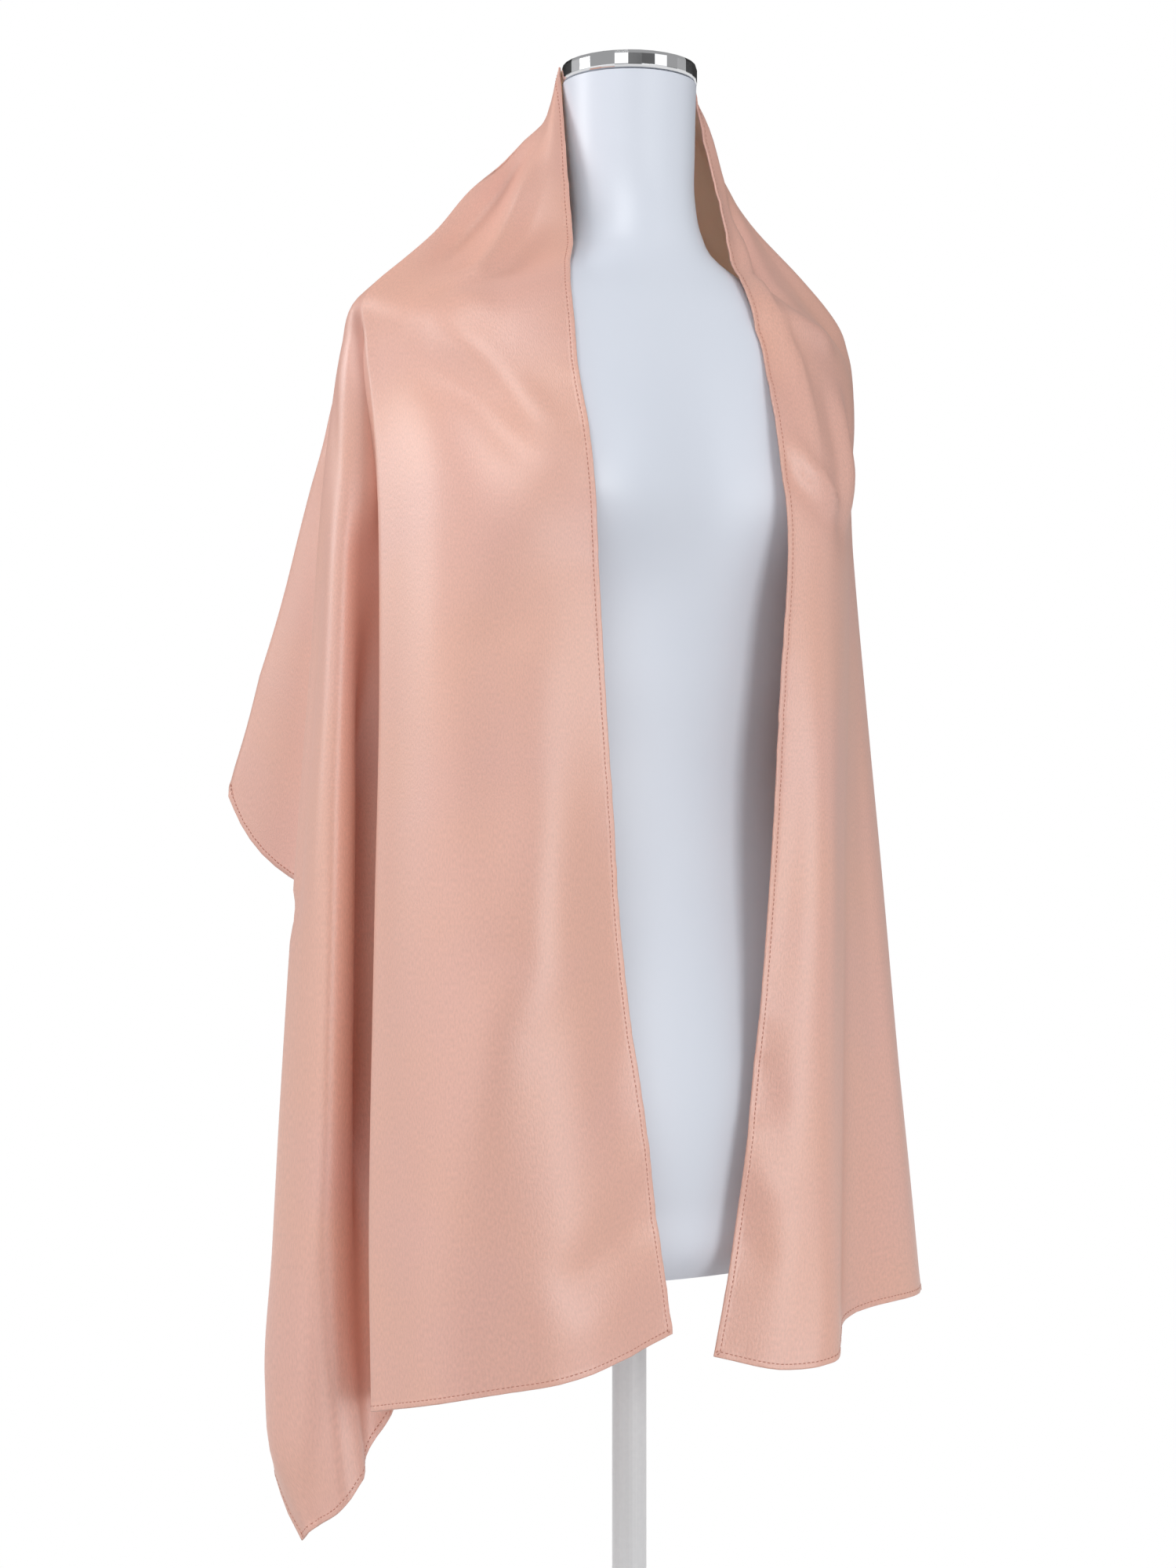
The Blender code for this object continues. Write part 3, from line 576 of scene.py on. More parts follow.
row_count = LEVEL_ROWS + LEANING_ROWS + TAIL_ROWS + 1
heights = np.array([line_heights(place, line) for place, line in enumerate(lines)])
knots = np.array([[line_point(line, heights[place, row]) for row in range(row_count)]
                  for place, line in enumerate(lines)])
knots = clear_of_form(knots, CLOTH_REST_GAP, CLOTH_BODY_GAP)
sharp = (0, CRISP_FOLD, len(lines) - 1)
pull_in, pull_out = [], []
for place in range(len(lines)):
    before = knots[place] - knots[max(place - 1, 0)]
    after = knots[min(place + 1, len(lines) - 1)] - knots[place]
    length_before = np.maximum(np.linalg.norm(before, axis=1, keepdims=True), LEAST_STEP)
    length_after = np.maximum(np.linalg.norm(after, axis=1, keepdims=True), LEAST_STEP)
    if place in sharp:
        pull_in.append(before / length_before)
        pull_out.append(after / length_after)
        continue
    blend = before / length_before * length_after + after / length_after * length_before
    pull_in.append(blend / (length_before + length_after))
    pull_out.append(blend / (length_before + length_after))
columns, column_place = [], []
for place in range(len(lines) - 1):
    start, end = knots[place], knots[place + 1]
    chord = np.linalg.norm(end - start, axis=1, keepdims=True)
    for share in column_shares(place):
        columns.append(hermite(start, end, pull_out[place] * chord,
                               pull_in[place + 1] * chord, share))
        column_place.append(place + share)
columns.append(knots[-1])
column_place.append(float(len(lines) - 1))
sheet = np.array(columns).transpose(1, 0, 2)        # rows from the neck down, columns round
column_place = np.array(column_place)


def column_at(line_at):
    """The column of the sheet that is nearest to a place among the lines."""
    return int(np.argmin(abs(column_place - line_at)))


# the crisp fold is a small round bend, not a knife edge
bend = column_at(CRISP_FOLD)
corner = sheet[:, bend].copy()
to_panel = sheet[:, bend - FOLD_COLUMNS - 1] - corner
to_valley = sheet[:, bend + FOLD_COLUMNS + 1] - corner
panel_length = np.linalg.norm(to_panel, axis=1, keepdims=True)
valley_length = np.linalg.norm(to_valley, axis=1, keepdims=True)
bend_reach = np.minimum(FOLD_RADIUS, np.minimum(panel_length, valley_length) * FOLD_SHARE)
first = corner + to_panel / panel_length * bend_reach
third = corner + to_valley / valley_length * bend_reach
for step in range(-FOLD_COLUMNS, FOLD_COLUMNS + 1):
    share = (step + FOLD_COLUMNS) / (2 * FOLD_COLUMNS)
    sheet[:, bend + step] = (first * (1 - share) ** 2 + corner * 2 * share * (1 - share)
                             + third * share ** 2)
sheet = clear_of_form(sheet, CLOTH_REST_GAP, CLOTH_BODY_GAP)
first_tail_row = LEVEL_ROWS + LEANING_ROWS
right_outer = column_at(RIGHT_OUTER)
left_outer = column_at(LEFT_OUTER)
kept = np.ones(sheet.shape[:2], bool)
kept[first_tail_row + 1:, right_outer + 1:left_outer] = False


def sheet_normals(points):
    """Outward normals from the neighbours along and across the sheet."""
    across = np.empty_like(points)
    across[:, 1:-1] = points[:, 2:] - points[:, :-2]
    across[:, 0] = points[:, 1] - points[:, 0]
    across[:, -1] = points[:, -1] - points[:, -2]
    tail = slice(first_tail_row + 1, None)
    across[tail, right_outer] = points[tail, right_outer] - points[tail, right_outer - 1]
    across[tail, left_outer] = points[tail, left_outer + 1] - points[tail, left_outer]
    down = np.empty_like(points)
    down[1:-1] = points[2:] - points[:-2]
    down[0] = points[1] - points[0]
    down[-1] = points[-1] - points[-2]
    hem_row = slice(right_outer + 1, left_outer)
    down[first_tail_row, hem_row] = (points[first_tail_row, hem_row]
                                     - points[first_tail_row - 1, hem_row])
    normals = np.cross(across, down)
    return normals / np.maximum(np.linalg.norm(normals, axis=2, keepdims=True), 1e-9)


# the back corners turn in a soft roll, and the hem beside them hangs in a belly
ROLL_COLUMNS = 6.0          # columns each side of a corner that the roll reaches
ROLL_FIRST_ROW, ROLL_EASE_ROWS = 62, 30     # where it sets in, and over how many rows
ROLL_PASSES = 14
BELLY_DROP, BELLY_ROWS = 15.0, 26           # mm that the hem drops, and the rows above it
rows_down = np.arange(sheet.shape[0])
for flare, outer_line in ((RIGHT_FLARE, RIGHT_OUTER), (LEFT_FLARE, LEFT_OUTER)):
    middle = column_at(flare)
    share = np.exp(-((np.arange(sheet.shape[1]) - middle) / ROLL_COLUMNS) ** 2)
    share = share * (np.arange(sheet.shape[1]) != column_at(outer_line))
    low = np.clip((rows_down - ROLL_FIRST_ROW) / ROLL_EASE_ROWS, 0, 1)
    low = low * (rows_down <= first_tail_row)
    weight = (low[:, None] * share[None, :])[..., None]
    tip = sheet[:, middle].copy()
    for _ in range(ROLL_PASSES):
        level = (sheet[:, :-2] + sheet[:, 2:]) / 2
        sheet[:, 1:-1] += (level - sheet[:, 1:-1]) * weight[:, 1:-1] * 0.5
    sheet += (tip - sheet[:, middle])[:, None, :] * weight
    across = np.clip(abs(column_place - outer_line), 0, 1)
    beside = (np.minimum(flare, outer_line) <= column_place) & (
        column_place <= np.maximum(flare, outer_line))
    belly = np.where(beside, np.sin(math.pi * across), 0)
    reach = np.clip((rows_down - first_tail_row + BELLY_ROWS) / BELLY_ROWS, 0, 1) ** 2
    reach = reach * (rows_down <= first_tail_row)
    sheet[..., 2] -= BELLY_DROP * reach[:, None] * belly[None, :]


# distances in mm from the edge of the first rows or columns, for the turned hem
HEM_STEPS = np.array((0.0, 0.7, 1.6, 2.6, 3.1, 3.5, 3.9, 4.7, 6.2))
HEM_BLEND = 15              # rows or columns from the edge in which the rest are spaced
HEM_ROOM = 2.5              # a strip shorter than this many hems has narrower steps
CORNER_EASE = 6             # rows or columns over which the steps set in beside a corner


def run_along(points):
    """Distance along a path from its first point to each of its points."""
    return np.concatenate(([0.0], np.cumsum(np.linalg.norm(np.diff(points, axis=0), axis=1))))


def points_at(stops, run, points):
    """Points of a path at some distances along it."""
    return np.stack([np.interp(stops, run, points[:, axis]) for axis in range(3)], 1)


def crowded(run_of_points):
    """A strip's first points moved to the hem's distances from its first point."""
    strip = run_of_points[:HEM_BLEND + 1]
    run = run_along(strip)
    near = HEM_STEPS * min(1.0, run[-1] / (HEM_ROOM * HEM_STEPS[-1]))
    count = HEM_BLEND + 1 - len(near)
    far = near[-1] + (run[-1] - near[-1]) * np.arange(1, count + 1) / count
    return points_at(np.concatenate((near, far)), run, strip)


for row in range(sheet.shape[0]):
    sheet[row, :HEM_BLEND + 1] = crowded(sheet[row])
    sheet[row, ::-1][:HEM_BLEND + 1] = crowded(sheet[row, ::-1])
    share = min(1.0, max(0.0, (row - first_tail_row) / CORNER_EASE))
    if share:
        for strip in (sheet[row, right_outer::-1], sheet[row, left_outer:]):
            strip[:HEM_BLEND + 1] += (crowded(strip) - strip[:HEM_BLEND + 1]) * share
for column in range(sheet.shape[1]):
    sheet[:HEM_BLEND + 1, column] = crowded(sheet[:, column])
    past_corner = min(column - right_outer, left_outer - column)
    if past_corner <= 0:
        sheet[::-1, column][:HEM_BLEND + 1] = crowded(sheet[::-1, column])
    else:
        strip = sheet[first_tail_row::-1, column]
        share = min(1.0, past_corner / CORNER_EASE)
        strip[:HEM_BLEND + 1] += (crowded(strip) - strip[:HEM_BLEND + 1]) * share


# Creases and soft folds, listed one by one. Each has its rise in mm (a trough is negative),
# its half width in mm, and its course in (line of the cloth, height) from end to end.
FOLDS = (
    # right shoulder: a ridge from the neck that swings to the shoulder point, the hollows
    # beside it, and pulls from the shoulder point to the bust
    (8.0, 8.5, ((1.79, 1440), (1.76, 1415), (1.70, 1385), (1.57, 1354), (1.56, 1332),
                (1.70, 1314), (2.10, 1306), (2.69, 1300))),
    (-6.5, 9.5, ((2.24, 1432), (2.30, 1405), (2.27, 1376), (2.35, 1351), (2.43, 1327),
                 (2.60, 1313))),
    (3.0, 16.0, ((2.50, 1294), (2.00, 1288), (1.50, 1292), (1.30, 1306))),
    (-3.0, 17.0, ((1.00, 1400), (1.12, 1362), (1.18, 1333), (1.21, 1291), (1.60, 1274))),
    (1.5, 18.0, ((0.35, 1410), (0.40, 1350), (0.40, 1290), (0.35, 1240))),
    (4.2, 15.0, ((2.90, 1292), (2.26, 1284), (1.53, 1252), (1.03, 1218), (0.58, 1189), (0.10, 1168))),
    (-4.0, 16.0, ((2.80, 1276), (2.03, 1251), (1.47, 1223), (1.04, 1184), (0.75, 1150))),
    (1.2, 24.0, ((2.60, 1235), (2.04, 1192), (1.40, 1130), (0.9, 1080))),
    # valley between the crisp fold and the side fold: full below the shoulder, then deep
    (9.0, 14.0, ((4.30, 1290), (4.32, 1240), (4.35, 1180), (4.38, 1110))),
    (-28.0, 12.0, ((4.34, 1110), (4.32, 960), (4.32, 800), (4.32, 600))),
    (-9.0, 11.0, ((4.36, 860), (4.40, 700), (4.45, 540))),
    # right panel below the bust: long soft waves
    (-4.5, 28.0, ((0.12, 1130), (0.50, 1110), (0.87, 1100), (1.30, 1050), (1.45, 960), (1.50, 860))),
    (4.5, 26.0, ((0.70, 1020), (0.86, 908), (1.00, 840), (1.45, 800), (1.62, 745), (1.75, 660))),
    (-4.2, 20.0, ((0.12, 950), (0.20, 887), (0.38, 822), (0.46, 753), (0.40, 690))),
    (2.0, 13.0, ((0.05, 800), (0.10, 740), (0.06, 690))),
    (-4.0, 18.0, ((0.20, 700), (0.55, 660), (0.90, 640), (1.20, 655))),
    (2.0, 20.0, ((0.40, 640), (0.75, 610), (1.10, 600))),
    (-2.5, 30.0, ((2.35, 1120), (2.20, 960), (2.15, 860), (2.05, 740), (1.95, 640))),
    (1.8, 26.0, ((2.62, 1160), (2.60, 1000), (2.58, 840), (2.50, 700))),
    (2.0, 22.0, ((2.45, 700), (2.40, 640), (2.37, 560))),
    (-2.5, 18.0, ((1.75, 640), (1.60, 600), (1.55, 550))),
    # right side fold and the back flare beside it
    (3.0, 10.0, ((4.95, 1230), (5.12, 1120), (5.20, 1000), (5.30, 820))),
    (-2.5, 9.0, ((5.60, 1180), (5.75, 1050), (5.80, 900), (5.75, 700))),
    (-3.0, 10.0, ((4.90, 700), (5.00, 600), (5.05, 520), (5.30, 480))),
    (3.5, 20.0, ((7.45, 1200), (7.50, 1130), (7.50, 1058), (7.48, 983), (7.45, 900))),
    # left shoulder: the collar's roll, the crease that leaves it and the pulls below
    (5.0, 7.0, ((21.97, 1440), (21.90, 1400), (21.94, 1357), (22.28, 1305), (22.00, 1262),
                (21.92, 1203), (21.88, 1150))),
    (6.0, 10.0, ((22.20, 1303), (21.87, 1293), (21.31, 1286), (20.85, 1280))),
    (-5.0, 12.0, ((21.60, 1410), (21.55, 1350), (21.42, 1315), (21.10, 1300))),
    (-4.0, 9.0, ((22.60, 1310), (22.48, 1262), (22.36, 1222))),
    (-4.0, 12.0, ((21.55, 1266), (21.50, 1215), (21.48, 1165), (21.45, 1110))),
    (4.5, 7.0, ((22.80, 1218), (22.39, 1199), (22.09, 1180), (21.60, 1160), (21.30, 1150))),
    (-4.0, 8.0, ((22.80, 1195), (22.35, 1174), (22.00, 1153), (21.60, 1136))),
    (4.0, 15.0, ((21.05, 1262), (21.08, 1210), (21.10, 1150))),
    (-3.5, 12.0, ((20.80, 1262), (20.75, 1200), (20.62, 1120))),
    # left tail: a full ridge beside the valley and shallow pulls from the front hem
    (3.5, 16.0, ((21.65, 1080), (21.70, 960), (21.60, 860), (21.52, 767), (21.22, 603), (21.20, 565))),
    (-2.2, 14.0, ((22.55, 1060), (22.40, 960), (22.30, 860), (22.25, 780))),
    (-2.4, 13.0, ((22.95, 800), (22.69, 769), (22.30, 740), (22.05, 722))),
    (2.4, 13.0, ((22.95, 742), (22.68, 712), (22.30, 690), (22.00, 660))),
    (-2.4, 13.0, ((22.97, 690), (22.77, 664), (22.40, 640), (22.05, 622))),
    (-3.0, 16.0, ((19.25, 1100), (19.31, 960), (19.30, 788), (19.36, 640))),
    # left side, turned from the camera: two long folds of the same size as the right's
    (-4.0, 14.0, ((18.00, 1200), (17.90, 1050), (17.95, 880), (18.00, 700), (18.05, 620))),
    (4.0, 13.0, ((17.35, 1180), (17.30, 1000), (17.25, 820), (17.20, 660))),
    (-4.0, 13.0, ((16.40, 1220), (16.45, 1080), (16.40, 900), (16.45, 700))),
    # back: a soft swag between the shoulders, then uneven falls to the hem
    (4.0, 13.0, ((7.90, 1352), (9.20, 1318), (11.00, 1300), (12.60, 1314), (13.90, 1346))),
    (-4.0, 15.0, ((8.10, 1318), (9.40, 1282), (10.90, 1262), (12.50, 1276), (13.90, 1310))),
    (3.0, 16.0, ((8.60, 1262), (9.70, 1226), (11.20, 1208), (12.70, 1228))),
    (4.0, 16.0, ((8.60, 1260), (8.62, 1160), (8.65, 1060), (8.65, 945))),
    (-7.0, 24.0, ((8.95, 1240), (9.02, 1120), (9.05, 1000), (9.05, 890))),
    (7.0, 20.0, ((9.62, 1230), (9.70, 1100), (9.75, 960), (9.78, 850))),
    (-6.0, 22.0, ((10.40, 1180), (10.42, 1040), (10.45, 900), (10.48, 805))),
    (6.0, 20.0, ((11.15, 1160), (11.12, 1010), (11.08, 880), (11.05, 795))),
    (-5.0, 18.0, ((11.75, 1190), (11.72, 1060), (11.70, 920), (11.72, 815))),
    (7.0, 22.0, ((12.35, 1220), (12.30, 1090), (12.28, 950), (12.25, 835))),
    (-7.0, 22.0, ((13.05, 1240), (13.02, 1110), (13.00, 980), (12.98, 870))),
    (7.0, 20.0, ((13.65, 1250), (13.70, 1140), (13.72, 1030), (13.75, 930))),
)
FOLD_TAPER = 0.35           # share of a fold's length in which either end dies out
HEM_REACH = 45.0            # a fold that ends this near the hem runs off it
LAYER_EASE, LAYER_END = 1.2, 1.8    # half widths beside a fold at which it leaves off


def sheet_place(line_at, height):
    """The sheet's point on a line of the cloth at a height."""
    column = column_at(line_at)
    rows = np.where(kept[:, column])[0]
    row = rows[np.argmin(abs(sheet[rows, column, 2] - height))]
    return sheet[row, column]


def lowest_point(line_at):
    """Height of the hem on a line of the cloth."""
    column = column_at(line_at)
    return sheet[np.where(kept[:, column])[0], column, 2].min()


def fold_offsets():
    """How far each point of the sheet moves out or in for all the folds together."""
    steps = np.linalg.norm(np.diff(sheet, axis=1), axis=2)
    round_run = np.concatenate((np.zeros((len(sheet), 1)), np.cumsum(steps, axis=1)), axis=1)
    offsets = np.zeros(sheet.shape[:2])
    for rise, half_width, course in FOLDS:
        stops = np.array([sheet_place(*stop) for stop in course])
        runs_off = stops[-1][2] - lowest_point(course[-1][0]) < HEM_REACH
        if runs_off:
            last_leg = stops[-1] - stops[-2]
            past_hem = stops[-1] + last_leg / np.linalg.norm(last_leg) * 2 * HEM_REACH
            stops = np.vstack((stops, past_hem))
        first = column_at(min(line_at for line_at, _ in course))
        last = column_at(max(line_at for line_at, _ in course))
        beside = np.maximum(round_run[:, first:first + 1] - round_run,
                            round_run - round_run[:, last:last + 1])
        same_layer = np.clip((LAYER_END - beside / half_width) / (LAYER_END - LAYER_EASE), 0, 1)
        nearest = np.full(sheet.shape[:2], np.inf)
        along = np.zeros(sheet.shape[:2])
        lengths = np.linalg.norm(stops[1:] - stops[:-1], axis=1)
        run = run_along(stops)
        for leg in range(len(lengths)):
            axis = (stops[leg + 1] - stops[leg]) / lengths[leg]
            share = np.clip((sheet - stops[leg]) @ axis, 0, lengths[leg])
            foot = stops[leg] + share[..., None] * axis
            distance = np.linalg.norm(sheet - foot, axis=2)
            closer = distance < nearest
            nearest = np.where(closer, distance, nearest)
            along = np.where(closer, run[leg] + share, along)
        left_over = np.full(along.shape, run[-1]) if runs_off else run[-1] - along
        taper = np.clip(np.minimum(along, left_over) / (FOLD_TAPER * run[-1]), 0, 1)
        taper = taper * taper * (3 - 2 * taper)
        offsets += rise * taper * same_layer * np.exp(-(nearest / half_width) ** 2)
    return offsets


PUCKER_RISE = 0.55          # mm, where the hem's stitches draw the cloth in
PUCKER_LEAST = 0.35         # the least share of that rise
PUCKER_PATCH = 60           # mm along the hem from one random share to the next
PUCKER_REACH = 9.0          # mm inwards over which the puckers die out
PUCKER_LENGTH = 19.0        # mm from one to the next, times a random share
PUCKER_SHARES = (0.7, 1.9)
PUCKER_WAVES = 4            # waves of different length that are laid over each other
CORNER_MARGIN = 3           # columns past a back corner that count as near the edge


def sheet_border():
    """Rows and columns of the cloth's edge: front edges, neck and hems, in one ring."""
    last = sheet.shape[0] - 1
    ring = [(row, 0) for row in range(last, 0, -1)]
    ring += [(0, column) for column in range(sheet.shape[1] - 1)]
    ring += [(row, sheet.shape[1] - 1) for row in range(last)]
    ring += [(last, column) for column in range(sheet.shape[1] - 1, left_outer, -1)]
    ring += [(row, left_outer) for row in range(last, first_tail_row, -1)]
    ring += [(first_tail_row, column) for column in range(left_outer, right_outer, -1)]
    ring += [(row, right_outer) for row in range(first_tail_row, last)]
    ring += [(last, column) for column in range(right_outer, 0, -1)]
    return ring


def point_tree(points):
    """A tree that finds the nearest of some points."""
    tree = KDTree(len(points))
    for place, point in enumerate(points):
        tree.insert(Vector(point), place)
    tree.balance()
    return tree


def pucker_offsets():
    """Small uneven waves across the hem, each starting at the edge and dying inwards."""
    edge = np.array([sheet[place] for place in sheet_border()])
    run = run_along(edge)
    chance = np.random.default_rng(7)
    waves = [(PUCKER_LENGTH * chance.uniform(*PUCKER_SHARES), chance.uniform(0, 2 * math.pi))
             for _ in range(PUCKER_WAVES)]
    patches = chance.uniform(0, 1, int(run[-1] / PUCKER_PATCH) + 2)
    patch_starts = np.arange(0, run[-1] + PUCKER_PATCH, PUCKER_PATCH)
    tall = PUCKER_LEAST + (1 - PUCKER_LEAST) * np.interp(run, patch_starts, patches)
    height = sum(np.sin(2 * math.pi * run / length + start) for length, start in waves)
    height = height / math.sqrt(PUCKER_WAVES)
    tree = point_tree(edge)
    offsets = np.zeros(sheet.shape[:2])
    for row, column in np.argwhere(kept & near_edge()):
        _, place, distance = tree.find(Vector(sheet[row, column]))
        if distance < 3 * PUCKER_REACH:
            fade = math.exp(-(distance / PUCKER_REACH) ** 2)
            offsets[row, column] = PUCKER_RISE * tall[place] * height[place] * fade
    return offsets


def near_edge():
    """Points within a few rows or columns of the cloth's edge."""
    near = np.zeros(kept.shape, bool)
    near[:, :HEM_BLEND] = near[:, -HEM_BLEND:] = True
    near[-HEM_BLEND:] = near[:HEM_BLEND] = True
    near[first_tail_row - HEM_BLEND:first_tail_row + 1,
         right_outer - CORNER_MARGIN:left_outer + CORNER_MARGIN + 1] = True
    near[first_tail_row:, right_outer - HEM_BLEND:right_outer + 1] = True
    near[first_tail_row:, left_outer:left_outer + HEM_BLEND] = True
    return near


normals = sheet_normals(sheet)
sheet = sheet + normals * (fold_offsets() + pucker_offsets())[..., None]
sheet = clear_of_form(sheet, CLOTH_LEAST_GAP, CLOTH_LEAST_GAP, soft=False)

# The hem is turned twice and stitched, so the cloth is a little thicker there, with a
# shallow groove where the thread draws it down.
HEM_RISE = 0.34             # mm added to each face
HEM_END, HEM_EASE = 4.5, 0.7        # mm from the edge to its end, and the slope there
HEM_GROOVE, GROOVE_HALF_WIDTH = 0.26, 0.45
STITCH_INSET = 3.5          # mm from the edge to the thread
EDGE_ROUND = 0.4            # mm that the turned edge bulges
EDGE_STEP = 0.4             # mm between the edge's points when distances from it are taken


def evenly(points, carried, step):
    """A closed path with its points a step apart, and what it carries with them."""
    closed = np.vstack((points, points[:1]))
    values = np.vstack((carried, carried[:1]))
    run = run_along(closed)
    stops = np.linspace(0, run[-1], int(run[-1] / step) + 1)[:-1]
    lying = points_at(stops, run, values)
    return points_at(stops, run, closed), lying / np.linalg.norm(lying, axis=1, keepdims=True)


def new_piece(name, points, faces):
    """A mesh piece at the origin, from points in metres and the faces between them."""
    mesh = bpy.data.meshes.new(name)
    mesh.from_pydata(points, [], faces)
    piece = bpy.data.objects.new(name, mesh)
    bpy.context.scene.collection.objects.link(piece)
    return piece


def turn_outward(piece):
    """A closed piece with its faces turned outwards and shaded smooth."""
    bpy.ops.object.select_all(action="DESELECT")
    bpy.context.view_layer.objects.active = piece
    piece.select_set(True)
    bpy.ops.object.mode_set(mode="EDIT")
    bpy.ops.mesh.select_all(action="SELECT")
    bpy.ops.mesh.normals_make_consistent(inside=False)
    bpy.ops.object.mode_set(mode="OBJECT")
    bpy.ops.object.shade_smooth()


normals = sheet_normals(sheet)
ring = sheet_border()
edge_points = np.array([sheet[place] for place in ring])
edge_normals = np.array([normals[place] for place in ring])
fine_edge, _ = evenly(edge_points, edge_normals, EDGE_STEP)
edge_tree = point_tree(fine_edge)
inset = np.full(kept.shape, np.inf)
for row, column in np.argwhere(kept & near_edge()):
    inset[row, column] = edge_tree.find(Vector(sheet[row, column]))[2]
turned = np.clip((HEM_END - inset) / HEM_EASE, 0, 1)
groove = HEM_GROOVE * np.exp(-((inset - STITCH_INSET) / GROOVE_HALF_WIDTH) ** 2)
half_wall = CLOTH_WALL / 2 + HEM_RISE * turned * turned * (3 - 2 * turned) - groove

index = -np.ones(sheet.shape[:2], int)
index[kept] = np.arange(kept.sum())
outer = sheet[kept] + normals[kept] * half_wall[kept][:, None]
inner = sheet[kept] - normals[kept] * half_wall[kept][:, None]
edge_along = np.roll(edge_points, -1, axis=0) - np.roll(edge_points, 1, axis=0)
edge_outward = np.cross(edge_along, edge_normals)
edge_outward /= np.linalg.norm(edge_outward, axis=1, keepdims=True)
rim = edge_points + edge_outward * EDGE_ROUND
count = len(outer)
OUTER_FACE, INNER_FACE = 0, 1       # the satin's and the crepe's places among the materials
faces, sides = [], []
for row in range(sheet.shape[0] - 1):
    for column in range(sheet.shape[1] - 1):
        corners = [int(index[row, column]), int(index[row + 1, column]),
                   int(index[row + 1, column + 1]), int(index[row, column + 1])]
        if min(corners) >= 0:
            faces.append(corners)
            faces.append([corners[turn] + count for turn in (0, 3, 2, 1)])
            sides += [OUTER_FACE, INNER_FACE]
for place in range(len(ring)):
    following = (place + 1) % len(ring)
    here, there = int(index[ring[place]]), int(index[ring[following]])
    faces.append([here, there, 2 * count + following, 2 * count + place])
    faces.append([2 * count + place, 2 * count + following, there + count, here + count])
    sides += [OUTER_FACE, OUTER_FACE]
stole = new_piece("stole", (np.concatenate((outer, inner, rim)) * MM).tolist(), faces)

# the weave follows the cloth: its own map runs round the body and down, in metres
across_step = np.linalg.norm(np.diff(sheet, axis=1), axis=2)
down_step = np.linalg.norm(np.diff(sheet, axis=0), axis=2)
cloth_u = np.concatenate((np.zeros(1), np.cumsum(across_step[first_tail_row]))) * MM
cloth_v = np.concatenate((np.zeros(1), np.cumsum(down_step.mean(axis=1)))) * MM
grid_u = np.broadcast_to(cloth_u[None, :], kept.shape)[kept]
grid_v = np.broadcast_to(cloth_v[:, None], kept.shape)[kept]
ring_index = np.array([index[place] for place in ring])
all_u = np.concatenate((grid_u, grid_u, grid_u[ring_index]))
all_v = np.concatenate((grid_v, grid_v, grid_v[ring_index]))
weave_map = stole.data.uv_layers.new(name="weave")
loop_vertices = np.zeros(len(stole.data.loops), int)
stole.data.loops.foreach_get("vertex_index", loop_vertices)
weave_map.data.foreach_set("uv", np.stack((all_u[loop_vertices], all_v[loop_vertices]), 1).ravel())

# Outer face: woven satin, whose long warp floats shine softly and turn deeper in the
# shade. Its threads stand about 0.1 mm apart, too fine to show, so the grain is drawn at
# about 1 mm.
satin, satin_shader = new_material("woven_blush_satin")
satin_place = add_node(satin, "ShaderNodeTexCoord")
satin_cloud = add_node(satin, "ShaderNodeTexNoise", inputs={"Scale": 11.0, "Detail": 2.0},
                       links={"Vector": (satin_place, "Object")})
satin_cast = add_node(satin, "ShaderNodeMapRange", inputs={"From Min": 0.35, "From Max": 0.65},
                      links={"Value": (satin_cloud, "Fac")})
satin_tone = add_node(satin, "ShaderNodeMix", {"data_type": "RGBA"},
                      {"A": surface_colour("#E2AB9B"), "B": surface_colour("#E4AC98")},
                      {"Factor": (satin_cast, "Result")})
satin_run = add_node(satin, "ShaderNodeMapping", inputs={"Scale": (1.0, 0.45, 1.0)},
                     links={"Vector": (satin_place, "UV")})
satin_slub = add_node(satin, "ShaderNodeTexNoise", inputs={"Scale": 900.0, "Detail": 2.0},
                      links={"Vector": (satin_run, "Vector")})
satin_grain = add_node(satin, "ShaderNodeMapRange",
                       inputs={"From Min": 0.3, "From Max": 0.7, "To Min": 0.91, "To Max": 1.06},
                       links={"Value": (satin_slub, "Fac")})
satin_dye = add_node(satin, "ShaderNodeVectorMath", {"operation": "SCALE"},
                     links={"Vector": (satin_tone, "Result"), "Scale": (satin_grain, "Result")})
satin_bump = add_node(satin, "ShaderNodeBump", inputs={"Strength": 0.4, "Distance": 0.0005},
                      links={"Height": (satin_slub, "Fac")})
set_node(satin, satin_shader,
         {"Roughness": 0.44, "Specular IOR Level": 1.0, "IOR": 1.6, "Sheen Weight": 0.25,
          "Sheen Roughness": 0.45, "Sheen Tint": surface_colour("#F3D9CF")},
         {"Base Color": (satin_dye, "Vector"), "Normal": (satin_bump, "Normal")})

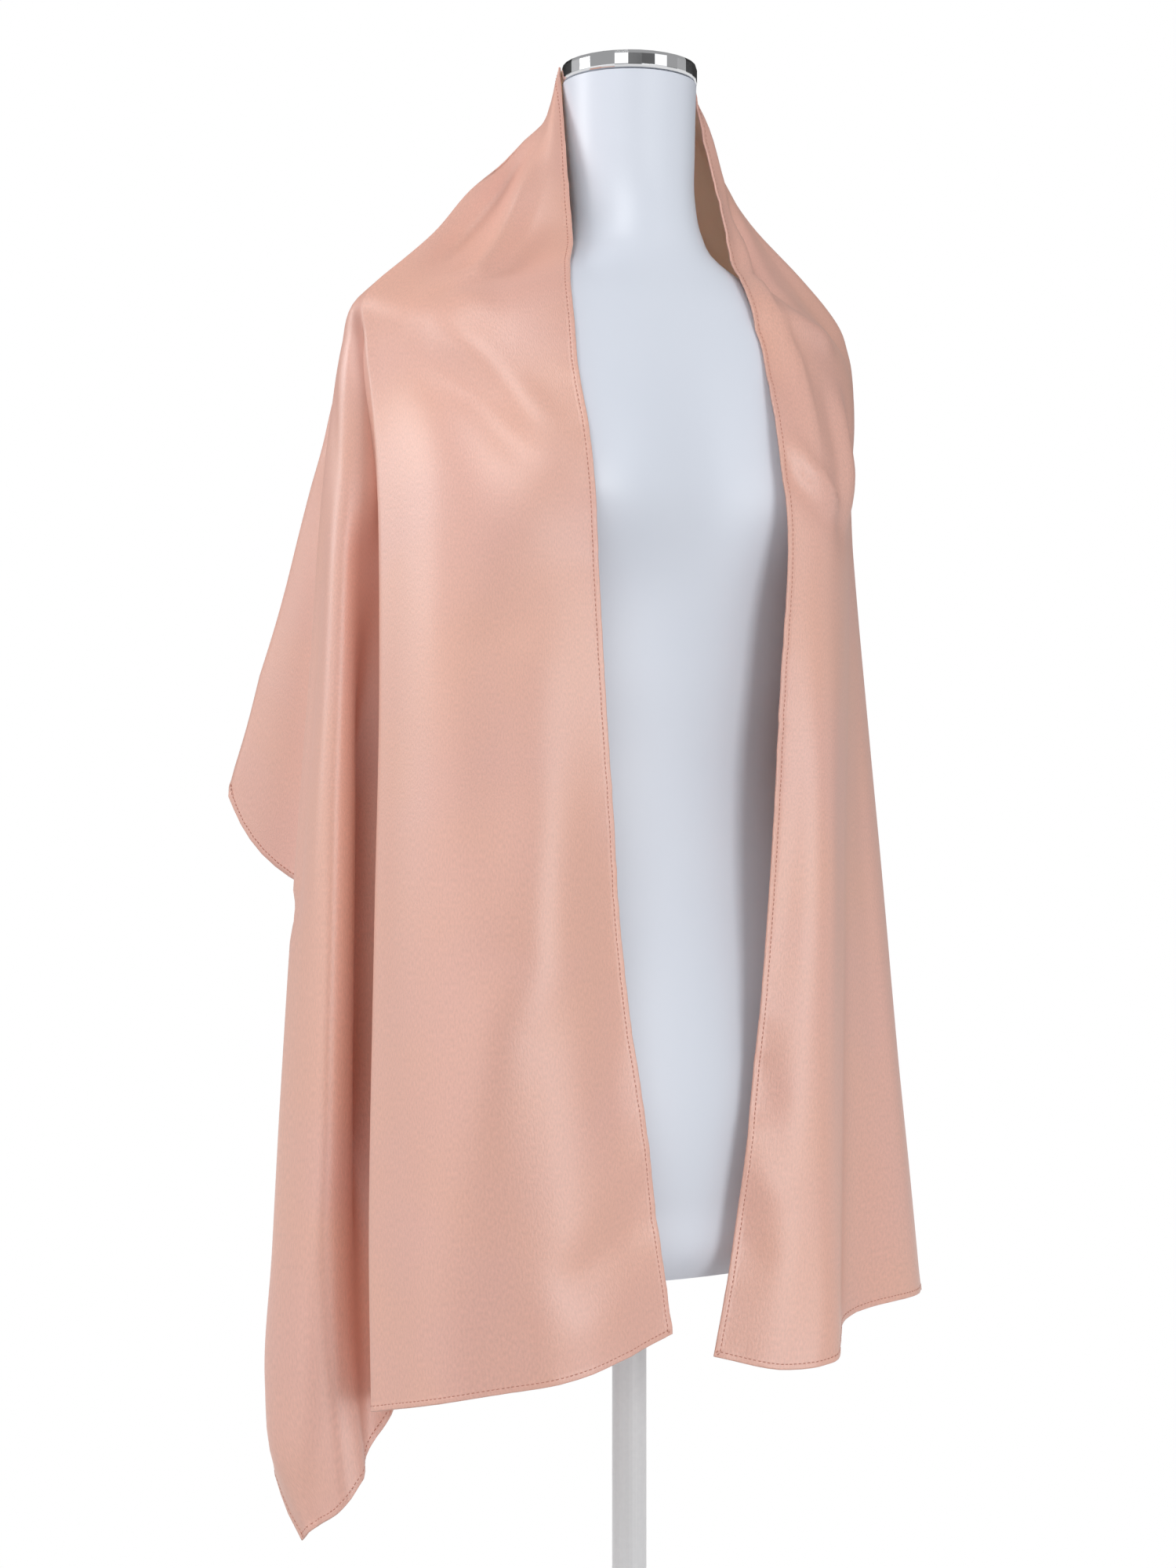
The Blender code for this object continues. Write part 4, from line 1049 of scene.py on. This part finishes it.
# Inner face: the same threads woven as crepe, matte and slightly pebbled, also drawn at
# about 1 mm. Light from outside glows through it a little, as it does at the collar.
crepe, crepe_shader = new_material("woven_blush_crepe_back")
crepe_place = add_node(crepe, "ShaderNodeTexCoord")
crepe_pebble = add_node(crepe, "ShaderNodeTexNoise", inputs={"Scale": 900.0, "Detail": 3.0},
                        links={"Vector": (crepe_place, "UV")})
crepe_tone = add_node(crepe, "ShaderNodeMix", {"data_type": "RGBA"},
                      {"A": surface_colour("#EDC3B4"), "B": surface_colour("#F2CFC2")},
                      {"Factor": (crepe_pebble, "Fac")})
crepe_bump = add_node(crepe, "ShaderNodeBump", inputs={"Strength": 0.3, "Distance": 0.0004},
                      links={"Height": (crepe_pebble, "Fac")})
set_node(crepe, crepe_shader,
         {"Roughness": 0.85, "Sheen Weight": 0.15, "Subsurface Weight": 0.8,
          "Subsurface Radius": (1.0, 0.55, 0.45), "Subsurface Scale": 0.008},
         {"Base Color": (crepe_tone, "Result"), "Normal": (crepe_bump, "Normal")})
stole.data.materials.append(satin)
stole.data.materials.append(crepe)
stole.data.polygons.foreach_set("material_index", sides)
turn_outward(stole)
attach(stole, "root")
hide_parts("stole_right_front", "stole_back", "stole_left_front")

# Stitches: one row of lockstitch in matching thread holds the hem, about three to the
# centimetre, each sunk a little into the satin. Both faces show it.
STITCH_PITCH, STITCH_LENGTH = 3.3, 2.5
STITCH_HALF_WIDTH, STITCH_RISE = 0.36, 0.22
STITCH_SEAT = 0.4           # share of its rise by which a stitch's middle clears the cloth
STITCH_FULL, STITCH_TIP = 0.3, 0.5      # shares of its length from its middle to these
faces_out = [face for face, side in zip(faces, sides)
             if side == OUTER_FACE and max(face) < count]
faces_in = [[corner - count for corner in face] for face, side in zip(faces, sides)
            if side == INNER_FACE]
thread_points, thread_faces = [], []
edge_inward_path, edge_inward = evenly(edge_points, -edge_outward, STITCH_PITCH)
_, edge_facing = evenly(edge_points, edge_normals, STITCH_PITCH)
for skin, skin_faces, facing in ((outer, faces_out, 1), (inner, faces_in, -1)):
    skin_tree = BVHTree.FromPolygons(skin.tolist(), skin_faces)
    seats = edge_inward_path + edge_inward * STITCH_INSET
    heading = np.roll(seats, -1, axis=0) - np.roll(seats, 1, axis=0)
    for seat, run, face_normal in zip(seats, heading, edge_facing * facing):
        found = skin_tree.find_nearest(Vector(seat))[0]
        out = Vector(face_normal)
        along = (Vector(run) - out * out.dot(Vector(run))).normalized()
        across = out.cross(along) * STITCH_HALF_WIDTH
        middle = found + out * STITCH_RISE * STITCH_SEAT
        start = len(thread_points)
        for share in (-STITCH_FULL, STITCH_FULL):
            point = middle + along * STITCH_LENGTH * share
            thread_points += [point + across, point + out * STITCH_RISE,
                              point - across, point - out * STITCH_RISE]
        for share in (-STITCH_TIP, STITCH_TIP):
            thread_points.append(middle + along * STITCH_LENGTH * share - out * STITCH_RISE)
        for side in range(4):
            other = (side + 1) % 4
            thread_faces += [(start + side, start + other, start + 4 + other, start + 4 + side),
                             (start + 8, start + other, start + side),
                             (start + 9, start + 4 + side, start + 4 + other)]
hem_stitches = new_piece("hem_stitches", [tuple(point * MM) for point in thread_points],
                         thread_faces)

# Spun polyester: dull beside the satin and a shade deeper, so that the row can be seen.
thread, thread_shader = new_material("spun_polyester_thread")
thread_place = add_node(thread, "ShaderNodeTexCoord")
thread_twist = add_node(thread, "ShaderNodeTexNoise", inputs={"Scale": 700.0},
                        links={"Vector": (thread_place, "Object")})
thread_tone = add_node(thread, "ShaderNodeMix", {"data_type": "RGBA"},
                       {"A": surface_colour("#B97C6B"), "B": surface_colour("#C98F7F")},
                       {"Factor": (thread_twist, "Fac")})
set_node(thread, thread_shader, {"Roughness": 0.6}, {"Base Color": (thread_tone, "Result")})
hem_stitches.data.materials.append(thread)
turn_outward(hem_stitches)
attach(hem_stitches, "root")
